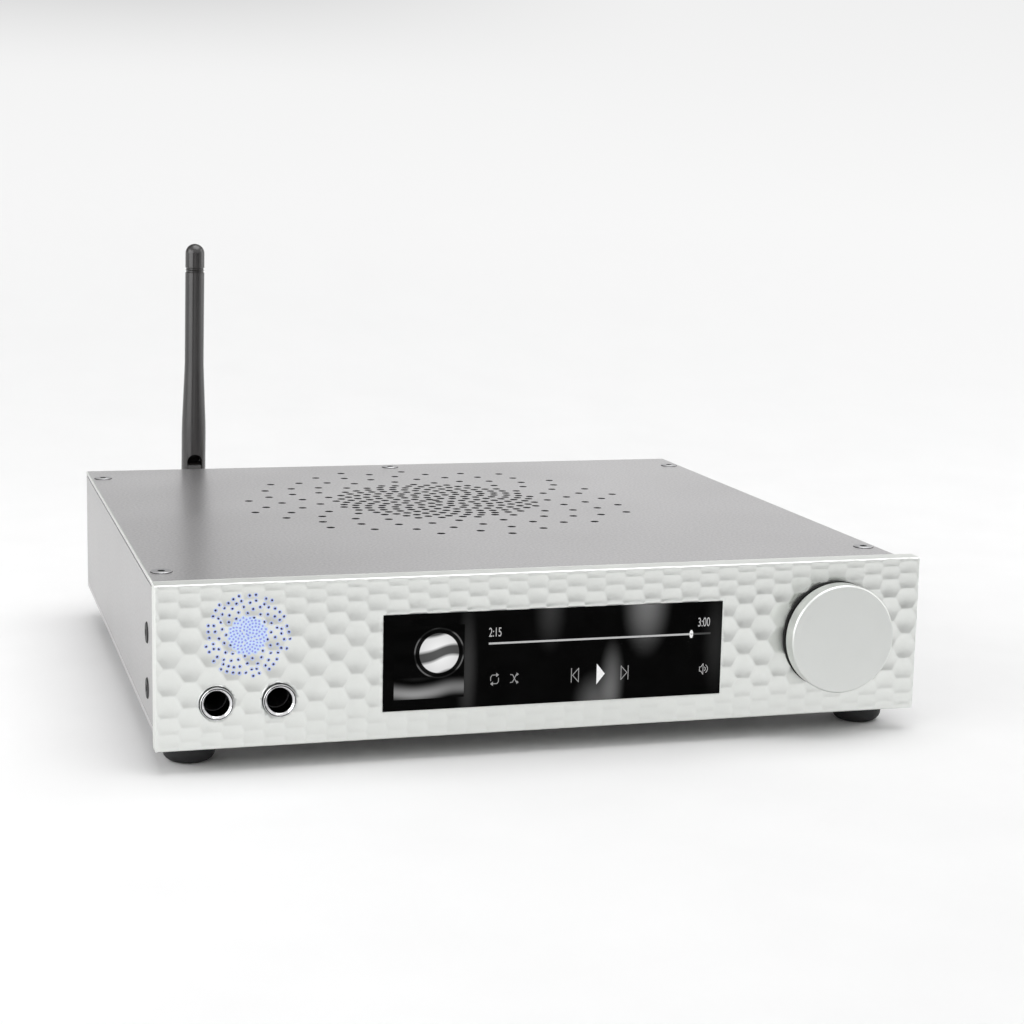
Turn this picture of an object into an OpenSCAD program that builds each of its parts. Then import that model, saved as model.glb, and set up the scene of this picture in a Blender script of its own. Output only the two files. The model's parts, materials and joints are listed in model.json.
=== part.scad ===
// Desktop network music streamer in a flat metal case on four rubber feet.
// A thick front panel carries two headphone sockets, a field of small lights,
// a glass display and a push-to-select volume knob. An upright antenna stands
// behind the rear panel on a swivel that also folds back.
// +X runs to the right of the front panel, +Y to the rear and +Z up.
// The origin is on the table under the middle of the whole outline.

/* [Front panel] */
// Width of the front panel
panel_w = 216; // [214:1:230]
// Height of the front panel
panel_h = 44; // [44:0.5:50]
// Thickness of the front panel
panel_t = 6; // [5:0.5:8]
// How far the panel hangs below the case
panel_drop = 4; // [3.5:0.1:4.2]
// Chamfer round the front edges of the panel
panel_chamfer = 0.6; // [0.3:0.1:1.5]

/* [Display] */
// Width of the glass window
display_w = 96; // [80:1:96]
// Height of the glass window
display_h = 26.2; // [20:0.2:28]
// Height of the window's centre above the panel's lower edge
display_up = 20.7; // [19:0.1:23]
// Thickness of the glass
glass_t = 1.5; // [1:0.1:2]
// Width of the ledge that carries the glass
glass_ledge = 1.6; // [1:0.1:2.5]

/* [Headphone sockets] */
// Distance of the first socket from the panel's left end
jack_from_end = 15.8; // [15.6:0.1:18]
// Distance between the two sockets
jack_pitch = 16.5; // [15.5:0.1:20]
// Height of the sockets above the panel's lower edge
jack_up = 12.3; // [12:0.1:12.6]
// Bore for the headphone plug
jack_bore_d = 6.5; // [6.4:0.05:6.7]
// Outside diameter of the bright ring round each socket
jack_ring_d = 9.4; // [9:0.1:12]
// How far the ring stands proud of the panel
jack_ring_t = 0.9; // [0.5:0.1:2]
// Depth of the socket body behind the panel
jack_body_d = 28; // [26:1:30]

/* [Lights] */
// Distance of the light field's centre from the panel's left end
light_from_end = 24; // [24:0.5:30]
// Height of the light field's centre above the panel's lower edge
light_up = 30; // [30:0.1:31]
// Diameter of the light field
light_field_d = 20; // [14:0.5:20.4]
// Number of light holes
light_count = 150; // [20:1:180]
// Diameter of one light hole
light_hole_d = 0.7; // [0.4:0.05:0.8]
// Spacing factor of the lights in the dense middle
light_spacing = 0.5; // [0.48:0.01:0.6]
// Metal left in front of the diffuser
light_wall = 1.6; // [1:0.1:2.5]

/* [Volume knob] */
// Diameter of the knob
knob_d = 30.8; // [24:0.2:36]
// Thickness of the knob
knob_t = 5.3; // [5:0.1:8]
// Gap between the knob's back and the panel
knob_gap = 1.2; // [1.2:0.1:2]
// Chamfer round the knob's front edge
knob_chamfer = 1.2; // [0.5:0.1:2]
// Distance of the knob's axis from the case's right end
knob_from_end = 21; // [21:0.5:27]
// Height of the knob's axis above the panel's lower edge
knob_up = 22.8; // [21:0.1:24]
// Diameter of the turning shaft
shaft_d = 6; // [5:0.5:6]
// Travel of the knob when it is pushed
knob_travel = 0.6; // [0.3:0.1:0.8]

/* [Case] */
// Width of the case behind the panel
chassis_w = 211; // [208:1:214]
// Depth of the case behind the panel
chassis_d = 190; // [186:1:210]
// Thickness of the cover, base, sides and rear panel
sheet_t = 1.5; // [1.2:0.1:1.6]
// Width of the corner blocks
block_w = 7; // [7:0.1:7.2]
// Depth of the front corner blocks
front_block_d = 20; // [19:0.5:24]
// Depth of the rear corner blocks
rear_block_d = 26; // [24:0.5:30]

/* [Vents] */
// Diameter of one vent hole in the cover
vent_d = 2.3; // [1.5:0.1:2.6]
// Radius of the dense middle of the vent field
vent_core_r = 33; // [24:1:36]
// Outer radius of the whole vent field
vent_field_r = 63; // [50:1:64]
// Number of holes scattered round the dense middle
vent_outer_count = 90; // [40:2:110]
// Spacing factor of the dense middle
vent_spacing = 2.3; // [2.2:0.1:3]
// Distance of the field's centre from the rear edge of the cover
vent_from_rear = 78; // [72:1:84]

/* [Feet] */
// Height of the feet under the case
foot_h = 10.4; // [8:0.2:14]
// Diameter of a foot at its top
foot_d = 16; // [13:0.5:18]
// Diameter of a foot at the table
foot_tip_d = 12.6; // [10:0.2:13]
// Distance of the left feet from the case's left side
foot_from_left = 10.5; // [10.5:0.5:16]
// Distance of the right feet from the case's right side
foot_from_right = 5.5; // [5.5:0.5:11]
// Distance of the front feet behind the panel
foot_front = 9; // [8:0.5:11]
// Distance of the rear feet from the rear edge
foot_rear = 22; // [20:0.5:30]

/* [Antenna] */
// Distance of the antenna from the case's left side
antenna_from_left = 38.5; // [37:0.5:40]
// Depth of the antenna's socket below the case top
antenna_from_top = 7; // [7:0.1:8]
// Distance of the antenna's upright axis behind the rear panel
antenna_reach = 14; // [14:0.5:18]
// Height of the antenna's tip above its folding pin
whip_length = 84.3; // [70:0.5:110]
// Diameter of the antenna near its base
whip_base_d = 8.4; // [8:0.1:9]
// Diameter of the antenna near its tip
whip_tip_d = 6.6; // [5.5:0.1:7.2]
// Width of the fork slot at the antenna's foot
fork_slot = 5.2; // [4.6:0.1:5.4]
// Diameter of the folding pin
fold_pin_d = 2; // [1.6:0.1:2.2]

/* [Sockets on the rear] */
// Diameter of the round sound sockets
phono_d = 8.3; // [8:0.1:8.6]
// Length of the round sound sockets
phono_len = 9; // [8:0.5:10]
// Inside diameter of the three-pin sockets
xlr_bore_d = 16.8; // [16:0.2:18]
// Width of the mains inlet's recess
inlet_w = 24; // [24:0.1:24.4]
// Height of the mains inlet's recess
inlet_h = 16.4; // [16.2:0.1:16.8]
// Width of the network socket's opening
network_w = 11.8; // [11.6:0.1:12.4]
// Height of the network socket's opening
network_h = 8.2; // [7.8:0.1:8.6]

/* [Boards] */
// Thickness of the circuit boards
board_t = 1.6; // [1.2:0.1:1.8]
// Height of the board standoffs
standoff_h = 5; // [4.5:0.1:6]
// Depth of the main board
main_board_d = 150; // [130:1:150]
// Width of the power supply board
supply_board_w = 48; // [46:1:50]

/* [Fits] */
// Radial clearance of turning and sliding fits
running_gap = 0.05; // [0.02:0.01:0.08]
// Clearance round fixed pieces and fasteners
seat_gap = 0.1; // [0.05:0.01:0.15]
// Clearance between pieces that move past each other
moving_gap = 0.3; // [0.3:0.05:0.4]
// Diameter of the screw shanks
screw_d = 2.9; // [2.4:0.1:3]

/* [Hidden] */
$fn = 48;

// A little extra length that lets a cut run clear of the face it starts from
over = 1;

// Whole outline, front to rear
knob_reach = knob_gap + knob_t;
total_d = knob_reach + panel_t + chassis_d + antenna_reach + whip_base_d / 2;
panel_y = knob_reach - total_d / 2;
back_y = panel_y + panel_t;
rear_y = back_y + chassis_d;

// Heights
base_z = foot_h;
panel_z = base_z - panel_drop;
top_z = panel_z + panel_h;

// Case, flush with the panel's left end
case_x0 = -panel_w / 2;
case_x1 = case_x0 + chassis_w;
case_mid = (case_x0 + case_x1) / 2;
in_x0 = case_x0 + sheet_t;
in_x1 = case_x1 - sheet_t;
in_y1 = rear_y - sheet_t;
in_z0 = base_z + sheet_t;
in_z1 = top_z - sheet_t;

// Screws
screw_r = screw_d / 2;
screw_head_r = 2.85;
screw_head_h = 1.4;
pan_head_r = 2.7;
pan_head_h = 1.8;
key_r = 1.15;
key_depth = 1.1;
cover_screw_len = 6;
side_screw_len = 7;
base_screw_len = 6;
rear_screw_len = 8;
corner_inset = 4;
cover_screw_front = 12.5;
cover_screw_rear = 17;
cover_screw_middle = 6;
side_screw_back = 11.4;
side_screw_low = 8.9;
side_screw_high = 24;
panel_screw_up = 16.5;
panel_screw_bite = 3.5;
base_screw_front = 16.5;
base_screw_rear = 10;
rear_screw_low = 12;
rear_screw_high = 9;
front_screw_y = back_y + cover_screw_front;
rear_screw_y = rear_y - cover_screw_rear;
middle_screw_y = rear_y - cover_screw_middle;
side_screw_y = back_y + side_screw_back;
side_screw_z = [base_z + side_screw_low, base_z + side_screw_high];
panel_screw_z = base_z + panel_screw_up;
base_screw_y = [back_y + base_screw_front, rear_y - base_screw_rear];
rear_screw_z = [in_z0 + rear_screw_low, in_z1 - rear_screw_high];
block_mid_x = [in_x0 + block_w / 2, in_x1 - block_w / 2];
cover_screw_spots = [
    [case_x0 + corner_inset, front_screw_y],
    [case_x1 - corner_inset, front_screw_y],
    [case_x0 + corner_inset, rear_screw_y],
    [case_x1 - corner_inset, rear_screw_y],
    [case_mid, middle_screw_y]
];

// Middle block that carries the rear edge of the cover
middle_block_w = 10;
middle_block_d = 10;
middle_block_h = 5;

// Feet
foot_span = chassis_w - foot_from_left - foot_from_right;
foot_x = [case_x0 + foot_from_left, case_x0 + foot_from_left + foot_span];
foot_y = [back_y + foot_front, rear_y - foot_rear];
foot_floor = 4;
foot_seat_z = foot_h - foot_floor;
foot_well_r = 3.4;
foot_edge = 1.6;

// Vents
vent_shift = 1.5;
vent_x = case_mid - vent_shift;
vent_y = rear_y - vent_from_rear;

// Front panel features
display_z = panel_z + display_up;
jack_x = [case_x0 + jack_from_end, case_x0 + jack_from_end + jack_pitch];
jack_z = panel_z + jack_up;
jack_bore_r = jack_bore_d / 2;
jack_sleeve_t = 0.7;
jack_sleeve_r = jack_bore_r + jack_sleeve_t;
jack_body_w = 14;
jack_body_half_h = jack_z - in_z0 - moving_gap;
jack_bore_depth = 24;
light_x = case_x0 + light_from_end;
light_z = panel_z + light_up;
light_pocket_edge = 0.5;
light_pocket_r = light_field_d / 2 + light_pocket_edge;
light_board_w = 21.6;
light_board_t = 1.2;
knob_x = case_x1 - knob_from_end;
knob_z = panel_z + knob_up;

// Knob and its turning switch, as distances behind the panel's front face
knob_back_edge = 0.4;
shaft_r = shaft_d / 2;
nut_r = 5.6;
nut_t = 2;
nut_recess_r = 6.6;
nut_recess_t = 2.6;
bush_r = 3.9;
bush_front = 0.3;
switch_w = 12;
switch_d = 8;
front_board_y = panel_t + switch_d;
cavity_r = 4.6;
cavity_step = 3.2;
cavity_front = panel_t + cavity_step;
switch_play = 0.4;
shaft_bite = 4;
shaft_end = cavity_front + switch_play;
tail_r = 1.5;
tail_len = 1.8;
tail_end = shaft_end + tail_len;
plunger_front = shaft_end + switch_play;
plunger_t = front_board_y - plunger_front - knob_travel - 2 * switch_play;
grub_r = 1.25;
grub_len = 5;

// Front board and display
display_step = 3;
board_gap = 0.5;
front_board_side = 2;
front_board_edge = 1;
front_board_x0 = -display_w / 2 - front_board_side;
front_board_x1 = in_x1 - block_w - board_gap;
front_board_z0 = in_z0 + front_board_edge;
front_board_z1 = in_z1 - front_board_edge;
ribbon_w = 14;
ribbon_t = 0.4;
ribbon_bend = 4;
ribbon_x = -20;
ribbon_drop = 6;

// Boards
board_z = in_z0 + standoff_h;
board_top = board_z + board_t;
board_side = 2;
board_split = 3;
supply_x1 = in_x1 - block_w - board_side;
supply_x0 = supply_x1 - supply_board_w;
main_x0 = in_x0 + block_w + board_side;
main_x1 = supply_x0 - board_split;
board_y1 = in_y1 - board_gap;
board_y0 = board_y1 - main_board_d;
standoff_r = 3;
standoff_inset = 5;
standoff_rear = 46;
board_screw_len = 5;
headphone_end = back_y + jack_body_d + board_t + board_gap;
standoff_y = [max(board_y0, headphone_end) + standoff_inset, board_y1 - standoff_rear];
standoff_spots = [
    for (x = [main_x0 + standoff_inset, main_x1 - standoff_inset,
              supply_x0 + standoff_inset, supply_x1 - standoff_inset])
        for (y = standoff_y) [x, y]
];

// Flat lead where it enters its plug on the main board, and the other plugs
ribbon_seat = 6;
ribbon_lift = 2;
ribbon_end = board_y0 + ribbon_seat;
ribbon_z = board_top + ribbon_lift;
plug_wall = 3;
ribbon_plug_h = 4.5;
header_w = 5;
header_inset = 4;
header_edge = 2;
link_share = 0.27;
link_bite = 4;
link_d = 20;
link_h = 7;

// Parts on the boards: each share is a place along the board's depth, from its front edge
sink_w = 40;
sink_plate = 3;
sink_fin = 1.5;
sink_h = 12;
sink_fins = 9;
sink_share = 0.37;
sink_from_edge = 14;
sink_x = main_x1 - sink_from_edge - sink_w;
chip_w = 9;
chip_h = 1.6;
chip_share = 0.15;
chip_inset = 14;
chip_pitch = 20;
chip_row_pitch = 18;
filter_r = 4;
filter_h = 12;
filter_share = 0.42;
filter_count = 5;
filter_inset = 10;
filter_to_sink = 19;
filter_pitch = (sink_x - main_x0 - filter_inset - filter_to_sink) / (filter_count - 1);
supply_mid = (supply_x0 + supply_x1) / 2;
core_share = 0.56;
core_h = 26;
core_t = 14;
core_leg = 12;
core_side = 5;
core_yoke = 6;
core_window_w = 9;
core_w = core_leg + 2 * core_window_w + 2 * core_side;
core_window_h = core_h - 2 * core_yoke;
coil_t = 8;
coil_w = core_leg + 2 * coil_t;
coil_d = core_t + 2 * coil_t;
bulk_r = 6;
bulk_h = 20;
bulk_share = 0.33;
bulk_inset = 11;
bulk_count = 3;
bulk_pitch = (supply_board_w - 2 * bulk_inset) / (bulk_count - 1);
choke_w = 18;
choke_d = 13;
choke_h = 16;
fuse_w = 7;
fuse_d = 22;
fuse_h = 10;
supply_edge = 4;
supply_rear_y = standoff_y[1] + supply_edge;

// Rear sockets, from the case's left side to its right side
antenna_x = case_x0 + antenna_from_left;
antenna_z = top_z - antenna_from_top;
antenna_y = rear_y + antenna_reach;
network_from_left = 18.5;
digital_from_left = 57.5;
inlet_from_right = 26;
network_x = case_x0 + network_from_left;
usb_x = antenna_x;
phono_r = phono_d / 2;
phono_lift = 0.5;
phono_z = board_top + phono_r + phono_lift;
phono_pitch = 15;
phono_tail = 6;
phono_bore_r = 1.7;
phono_floor = 1;
phono_flange = 1.8;
phono_flange_r = phono_r + phono_flange;
phono_flange_t = 1.2;
inlet_wall = 1.5;
inlet_rim = 2;
inlet_body_w = inlet_w + 2 * inlet_wall;
inlet_body_h = inlet_h + 2 * inlet_wall;
inlet_body_d = 24;
inlet_cavity_d = 16;
inlet_x = case_x1 - inlet_from_right;
inlet_z = board_top + inlet_body_h / 2;
inlet_flange_t = 2.5;
inlet_pin_pitch = 7;
inlet_pin_rise = 2;
inlet_pin_w = 2;
inlet_pin_h = 4;
inlet_pin_len = 13;
xlr_body_r = 11;
xlr_body_d = 18;
xlr_z = board_top + xlr_body_r;
xlr_bore_r = xlr_bore_d / 2;
xlr_cavity_d = 15;
xlr_flange_w = 26;
xlr_flange_h = 29;
xlr_flange_t = 2;
xlr_pin_r = 1.2;
xlr_pin_circle = 4.9;

// The three-pin sockets and the line outputs stand evenly between the digital inputs and the mains inlet
digital_x = [case_x0 + digital_from_left, case_x0 + digital_from_left + phono_pitch];
out_x0 = digital_x[1] + phono_flange_r;
out_x1 = inlet_x - inlet_body_w / 2 - inlet_rim;
out_gap = (out_x1 - out_x0 - 2 * xlr_flange_w - 2 * phono_flange_r) / 4;
xlr_x = [out_x0 + out_gap + xlr_flange_w / 2, out_x0 + 2 * out_gap + 1.5 * xlr_flange_w];
line_x = out_x1 - out_gap - phono_flange_r;
phono_spots = [
    [digital_x[0], phono_z], [digital_x[1], phono_z],
    [line_x, phono_z], [line_x, phono_z + phono_pitch]
];
network_body = [16, 20, 13.5];
network_cavity_d = 14;
network_sill = 2.4;
usb_body = [14.4, 16, 7];
usb_wall = 0.9;
usb_cavity_d = 11;
usb_tongue = [11, 10, 1.8];
socket_proud = 1;

// Antenna swivel, as distances behind the rear panel
sma_r = 3.1;
sma_flange_t = 2;
sma_tail = 8;
sma_end = 5;
collar_r = 4.6;
sma_nut_t = 1.6;
collar_start = sma_nut_t + seat_gap;
collar_end = 8;
collar_lip = 1.8;
spigot_r = 2.5;
spigot_flange_r = 2.85;
spigot_flange_t = 0.9;
shoulder_t = 1.1;
fold_pin_r = fold_pin_d / 2;
whip_base_r = whip_base_d / 2;
whip_tip_r = whip_tip_d / 2;
tongue_t = fork_slot - 2 * moving_gap;
tongue_r = 4;
tongue_edge = 1;
tongue_half_h = tongue_r - tongue_edge;
fork_depth = 7.9;
whip_straight = 22;
whip_taper_end = 40.5;
whip_groove = 9;
whip_groove_w = 0.9;
whip_groove_d = 0.35;

// Streamer module and its antenna lead
module_w = 58;
module_d = 44;
module_t = 1.2;
module_lift = 5;
module_inset = 2;
module_from_rear = 23;
module_x0 = main_x0 + module_inset;
module_y1 = in_y1 - module_from_rear;
module_z = board_top + module_lift;
shield_t = 3.5;
shield_inset = 4.5;
lead_r = 0.7;
lead_bend = 5;
lead_run = 14;
lead_y = in_y1 - sma_tail - lead_run - lead_bend;

// Shared shapes

module slab(lo, hi) {
    translate(lo) cube(hi - lo);
}

// Cylinder along +Y from y0 to y1 at a place seen from the front
module rod_y(x, z, r, y0, y1) {
    translate([x, y0, z]) rotate([-90, 0, 0]) cylinder(h = y1 - y0, r = r);
}

// Cylinder along +X from x0 to x1
module rod_x(y, z, r, x0, x1) {
    translate([x0, y, z]) rotate([0, 90, 0]) cylinder(h = x1 - x0, r = r);
}

// Screw with a sunk head, its face at z = 0 and its shank down -Z
module sunk_screw(len) {
    difference() {
        union() {
            translate([0, 0, -screw_head_h]) cylinder(h = screw_head_h, r1 = screw_r, r2 = screw_head_r);
            translate([0, 0, -len]) cylinder(h = len - screw_head_h, r = screw_r);
        }
        translate([0, 0, -key_depth]) cylinder(h = key_depth + over, r = key_r, $fn = 6);
    }
}

module sunk_hole(len) {
    translate([0, 0, -screw_head_h])
        cylinder(h = screw_head_h, r1 = screw_r + seat_gap, r2 = screw_head_r + seat_gap);
    translate([0, 0, -over / 100]) cylinder(h = over, r = screw_head_r + seat_gap);
    shank_hole(len);
}

module shank_hole(len) {
    translate([0, 0, -len - seat_gap]) cylinder(h = len + seat_gap + over / 2, r = screw_r + seat_gap);
}

// Screw with a low round head that stands on z = 0, its shank down -Z
module pan_screw(len) {
    difference() {
        union() {
            cylinder(h = pan_head_h, r = pan_head_r);
            translate([0, 0, -len]) cylinder(h = len, r = screw_r);
        }
        translate([0, 0, pan_head_h - key_depth]) cylinder(h = key_depth + over, r = key_r, $fn = 6);
    }
}

// Places of each group of screws

module at_cover_screws(spots) {
    for (p = spots) translate([p[0], p[1], top_z]) children();
}

module at_side_screws(left) {
    for (z = side_screw_z)
        translate([left ? case_x0 : case_x1, side_screw_y, z])
            rotate([0, left ? -90 : 90, 0]) children();
}

module at_base_screws(y) {
    for (x = block_mid_x) translate([x, y, base_z]) rotate([180, 0, 0]) children();
}

module at_rear_screws() {
    for (x = block_mid_x) for (z = rear_screw_z)
        translate([x, rear_y, z]) rotate([-90, 0, 0]) children();
}

module at_panel_screws() {
    for (x = block_mid_x)
        translate([x, back_y + front_block_d, panel_screw_z]) rotate([-90, 0, 0]) children();
}

module at_feet() {
    for (x = foot_x) for (y = foot_y) translate([x, y, 0]) children();
}

module at_standoffs() {
    for (p = standoff_spots) translate([p[0], p[1], in_z0]) children();
}

// Points of a sunflower spiral: an even middle of radius core, then a thinner scatter out to edge
function spiral_core_count(core, step) = floor((core / step) * (core / step));
function spiral_radius(n, inner, count, core, step, edge) =
    n <= inner ? step * sqrt(n) : core + (edge - core) * pow((n - inner) / (count - inner), 0.85);
golden_turn = 137.508;

module spiral_holes(count, core, step, edge, r) {
    inner = spiral_core_count(core, step);
    for (n = [0:count - 1]) {
        reach = spiral_radius(n, inner, count, core, step, edge);
        translate([reach * cos(n * golden_turn), reach * sin(n * golden_turn)]) circle(r = r, $fn = 24);
    }
}

// Case

module panel_blank() {
    c = panel_chamfer;
    intersection() {
        translate([-panel_w / 2, 0, 0]) rotate([90, 0, 90])
            linear_extrude(panel_w)
                polygon([[0, c], [c, 0], [panel_t, 0], [panel_t, panel_h], [c, panel_h], [0, panel_h - c]]);
        linear_extrude(panel_h)
            polygon([[-panel_w / 2, c], [-panel_w / 2 + c, 0], [panel_w / 2 - c, 0], [panel_w / 2, c],
                     [panel_w / 2, panel_t], [-panel_w / 2, panel_t]]);
    }
}

module front_panel() {
    w = display_w / 2 + seat_gap;
    h = display_h / 2 + seat_gap;
    color([0.84, 0.84, 0.85]) difference() {
        translate([0, panel_y, panel_z]) panel_blank();
        slab([-w, panel_y - over, display_z - h], [w, panel_y + glass_t, display_z + h]);
        slab([glass_ledge - w, panel_y, display_z - h + glass_ledge],
             [w - glass_ledge, back_y + over, display_z + h - glass_ledge]);
        for (x = jack_x) rod_y(x, jack_z, jack_sleeve_r + seat_gap, panel_y - over, back_y + over);
        rod_y(knob_x, knob_z, bush_r + seat_gap, panel_y - over, back_y + over);
        rod_y(knob_x, knob_z, nut_recess_r, panel_y - over, panel_y + nut_recess_t);
        rod_y(light_x, light_z, light_pocket_r, panel_y + light_wall, back_y + over);
        translate([light_x, panel_y + light_wall + over / 2, light_z]) rotate([90, 0, 0])
            linear_extrude(light_wall + over)
                spiral_holes(light_count, light_field_d / 4, light_spacing,
                             light_field_d / 2 - light_hole_d, light_hole_d / 2);
        for (x = block_mid_x)
            rod_y(x, panel_screw_z, screw_r + seat_gap,
                  back_y - panel_screw_bite - seat_gap, back_y + over);
    }
}

module display_window() {
    w = display_w / 2;
    h = display_h / 2;
    color([0.03, 0.03, 0.035])
        slab([-w, panel_y, display_z - h], [w, panel_y + glass_t, display_z + h]);
}

module top_cover() {
    count = spiral_core_count(vent_core_r, vent_spacing) + vent_outer_count;
    color([0.68, 0.68, 0.69]) difference() {
        translate([0, 0, in_z1]) linear_extrude(sheet_t) difference() {
            translate([case_x0, back_y]) square([chassis_w, chassis_d]);
            translate([vent_x, vent_y])
                spiral_holes(count, vent_core_r, vent_spacing, vent_field_r, vent_d / 2);
        }
        at_cover_screws(cover_screw_spots) sunk_hole(cover_screw_len);
    }
}

module base_plate() {
    color([0.66, 0.66, 0.67]) difference() {
        slab([case_x0, back_y, base_z], [case_x1, rear_y, in_z0]);
        for (y = base_screw_y) at_base_screws(y) sunk_hole(base_screw_len);
        at_feet() cylinder(h = in_z0 + over, r = screw_r + seat_gap);
    }
}

module left_side() {
    color([0.76, 0.76, 0.77]) difference() {
        slab([case_x0, back_y, in_z0], [in_x0, in_y1, in_z1]);
        at_side_screws(true) sunk_hole(side_screw_len);
    }
}

module right_side() {
    color([0.76, 0.76, 0.77]) difference() {
        slab([in_x1, back_y, in_z0], [case_x1, in_y1, in_z1]);
        at_side_screws(false) sunk_hole(side_screw_len);
    }
}

module rear_panel() {
    color([0.66, 0.66, 0.67]) difference() {
        slab([case_x0, in_y1, in_z0], [case_x1, rear_y, in_z1]);
        at_rear_screws() translate([0, 0, over]) shank_hole(rear_screw_len);
        rod_y(antenna_x, antenna_z, sma_r + seat_gap, in_y1 - over, rear_y + over);
        for (p = phono_spots) rod_y(p[0], p[1], phono_r + seat_gap, in_y1 - over, rear_y + over);
        for (x = xlr_x) rod_y(x, xlr_z, xlr_body_r + seat_gap, in_y1 - over, rear_y + over);
        rear_window(inlet_x, inlet_z, inlet_body_w, inlet_body_h);
        rear_window(network_x, board_top + network_body[2] / 2, network_body[0], network_body[2]);
        rear_window(usb_x, board_top + usb_body[2] / 2, usb_body[0], usb_body[2]);
    }
}

// Square window in the rear panel round a socket of the given size
module rear_window(x, z, w, h) {
    slab([x - w / 2 - seat_gap, in_y1 - over, z - h / 2 - seat_gap],
         [x + w / 2 + seat_gap, rear_y + over, z + h / 2 + seat_gap]);
}

module corner_block(x0, y0, depth) {
    slab([x0, y0, in_z0], [x0 + block_w, y0 + depth, in_z1]);
}

module front_corner_blocks() {
    color([0.6, 0.6, 0.62]) difference() {
        union() {
            corner_block(in_x0, back_y, front_block_d);
            corner_block(in_x1 - block_w, back_y, front_block_d);
        }
        at_cover_screws([cover_screw_spots[0], cover_screw_spots[1]]) shank_hole(cover_screw_len);
        at_side_screws(true) shank_hole(side_screw_len);
        at_side_screws(false) shank_hole(side_screw_len);
        at_base_screws(base_screw_y[0]) shank_hole(base_screw_len);
        at_panel_screws() translate([0, 0, over]) shank_hole(front_block_d + 2 * over);
    }
}

module rear_corner_blocks() {
    color([0.6, 0.6, 0.62]) difference() {
        union() {
            corner_block(in_x0, in_y1 - rear_block_d, rear_block_d);
            corner_block(in_x1 - block_w, in_y1 - rear_block_d, rear_block_d);
        }
        at_cover_screws([cover_screw_spots[2], cover_screw_spots[3]]) shank_hole(cover_screw_len);
        at_base_screws(base_screw_y[1]) shank_hole(base_screw_len);
        at_rear_screws() shank_hole(rear_screw_len);
    }
}

module rear_middle_block() {
    color([0.6, 0.6, 0.62]) difference() {
        slab([case_mid - middle_block_w / 2, in_y1 - middle_block_d, in_z1 - middle_block_h],
             [case_mid + middle_block_w / 2, in_y1, in_z1]);
        at_cover_screws([cover_screw_spots[4]]) shank_hole(cover_screw_len);
    }
}

module cover_screws() {
    color([0.62, 0.62, 0.63]) at_cover_screws(cover_screw_spots) sunk_screw(cover_screw_len);
}

module side_screws() {
    color([0.62, 0.62, 0.63]) {
        at_side_screws(true) sunk_screw(side_screw_len);
        at_side_screws(false) sunk_screw(side_screw_len);
    }
}

module base_screws() {
    color([0.62, 0.62, 0.63]) for (y = base_screw_y) at_base_screws(y) sunk_screw(base_screw_len);
}

module rear_screws() {
    color([0.2, 0.2, 0.2]) at_rear_screws() pan_screw(rear_screw_len);
}

module panel_screws() {
    color([0.62, 0.62, 0.63]) at_panel_screws() pan_screw(front_block_d + panel_screw_bite);
}

module rubber_feet() {
    edge = foot_edge;
    color([0.06, 0.06, 0.06]) at_feet() difference() {
        rotate_extrude()
            polygon(concat(
                [[0, 0]],
                [for (a = [-90:15:0]) [foot_tip_d / 2 - edge + edge * cos(a), edge + edge * sin(a)]],
                [[foot_d / 2, foot_h], [0, foot_h]]
            ));
        translate([0, 0, -over]) cylinder(h = foot_seat_z + over, r = foot_well_r);
        cylinder(h = foot_h + over, r = screw_r + seat_gap);
    }
}

module foot_screws() {
    color([0.62, 0.62, 0.63]) at_feet()
        translate([0, 0, foot_seat_z]) rotate([180, 0, 0]) pan_screw(in_z0 - foot_seat_z);
}

// Volume knob and its turning switch

module volume_knob() {
    r = knob_d / 2;
    c = knob_chamfer;
    e = knob_back_edge;
    face_y = panel_y - knob_reach;
    color([0.86, 0.86, 0.87]) difference() {
        translate([knob_x, face_y, knob_z]) rotate([-90, 0, 0]) rotate_extrude($fn = 96)
            polygon([[0, 0], [r - c, 0], [r, c], [r, knob_t - e], [r - e, knob_t], [0, knob_t]]);
        rod_y(knob_x, knob_z, shaft_r + running_gap, panel_y - knob_gap - shaft_bite, panel_y);
        translate([knob_x, panel_y - knob_gap - shaft_bite / 2, knob_z]) rotate([180, 0, 0])
            cylinder(h = r + over, r = grub_r + running_gap);
    }
}

module knob_grub_screw() {
    color([0.15, 0.15, 0.15])
        translate([knob_x, panel_y - knob_gap - shaft_bite / 2, knob_z - shaft_r - seat_gap])
            rotate([180, 0, 0]) cylinder(h = grub_len, r = grub_r);
}

module encoder_shaft() {
    color([0.7, 0.7, 0.72]) {
        rod_y(knob_x, knob_z, shaft_r, panel_y - knob_gap - shaft_bite + seat_gap, panel_y + shaft_end);
        rod_y(knob_x, knob_z, tail_r, panel_y + shaft_end, panel_y + tail_end);
    }
}

module encoder_plunger() {
    front = panel_y + plunger_front;
    color([0.9, 0.9, 0.86]) difference() {
        rod_y(knob_x, knob_z, cavity_r - moving_gap, front, front + plunger_t);
        rod_y(knob_x, knob_z, tail_r + running_gap, front - over, panel_y + tail_end + running_gap);
    }
}

module encoder_body() {
    h = switch_w / 2;
    color([0.45, 0.45, 0.47]) difference() {
        union() {
            slab([knob_x - h, back_y, knob_z - h], [knob_x + h, back_y + switch_d, knob_z + h]);
            rod_y(knob_x, knob_z, bush_r, panel_y + bush_front, back_y + over);
        }
        rod_y(knob_x, knob_z, shaft_r + running_gap, panel_y - over, back_y + switch_d);
        rod_y(knob_x, knob_z, cavity_r, panel_y + cavity_front, back_y + switch_d + over);
    }
}

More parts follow.
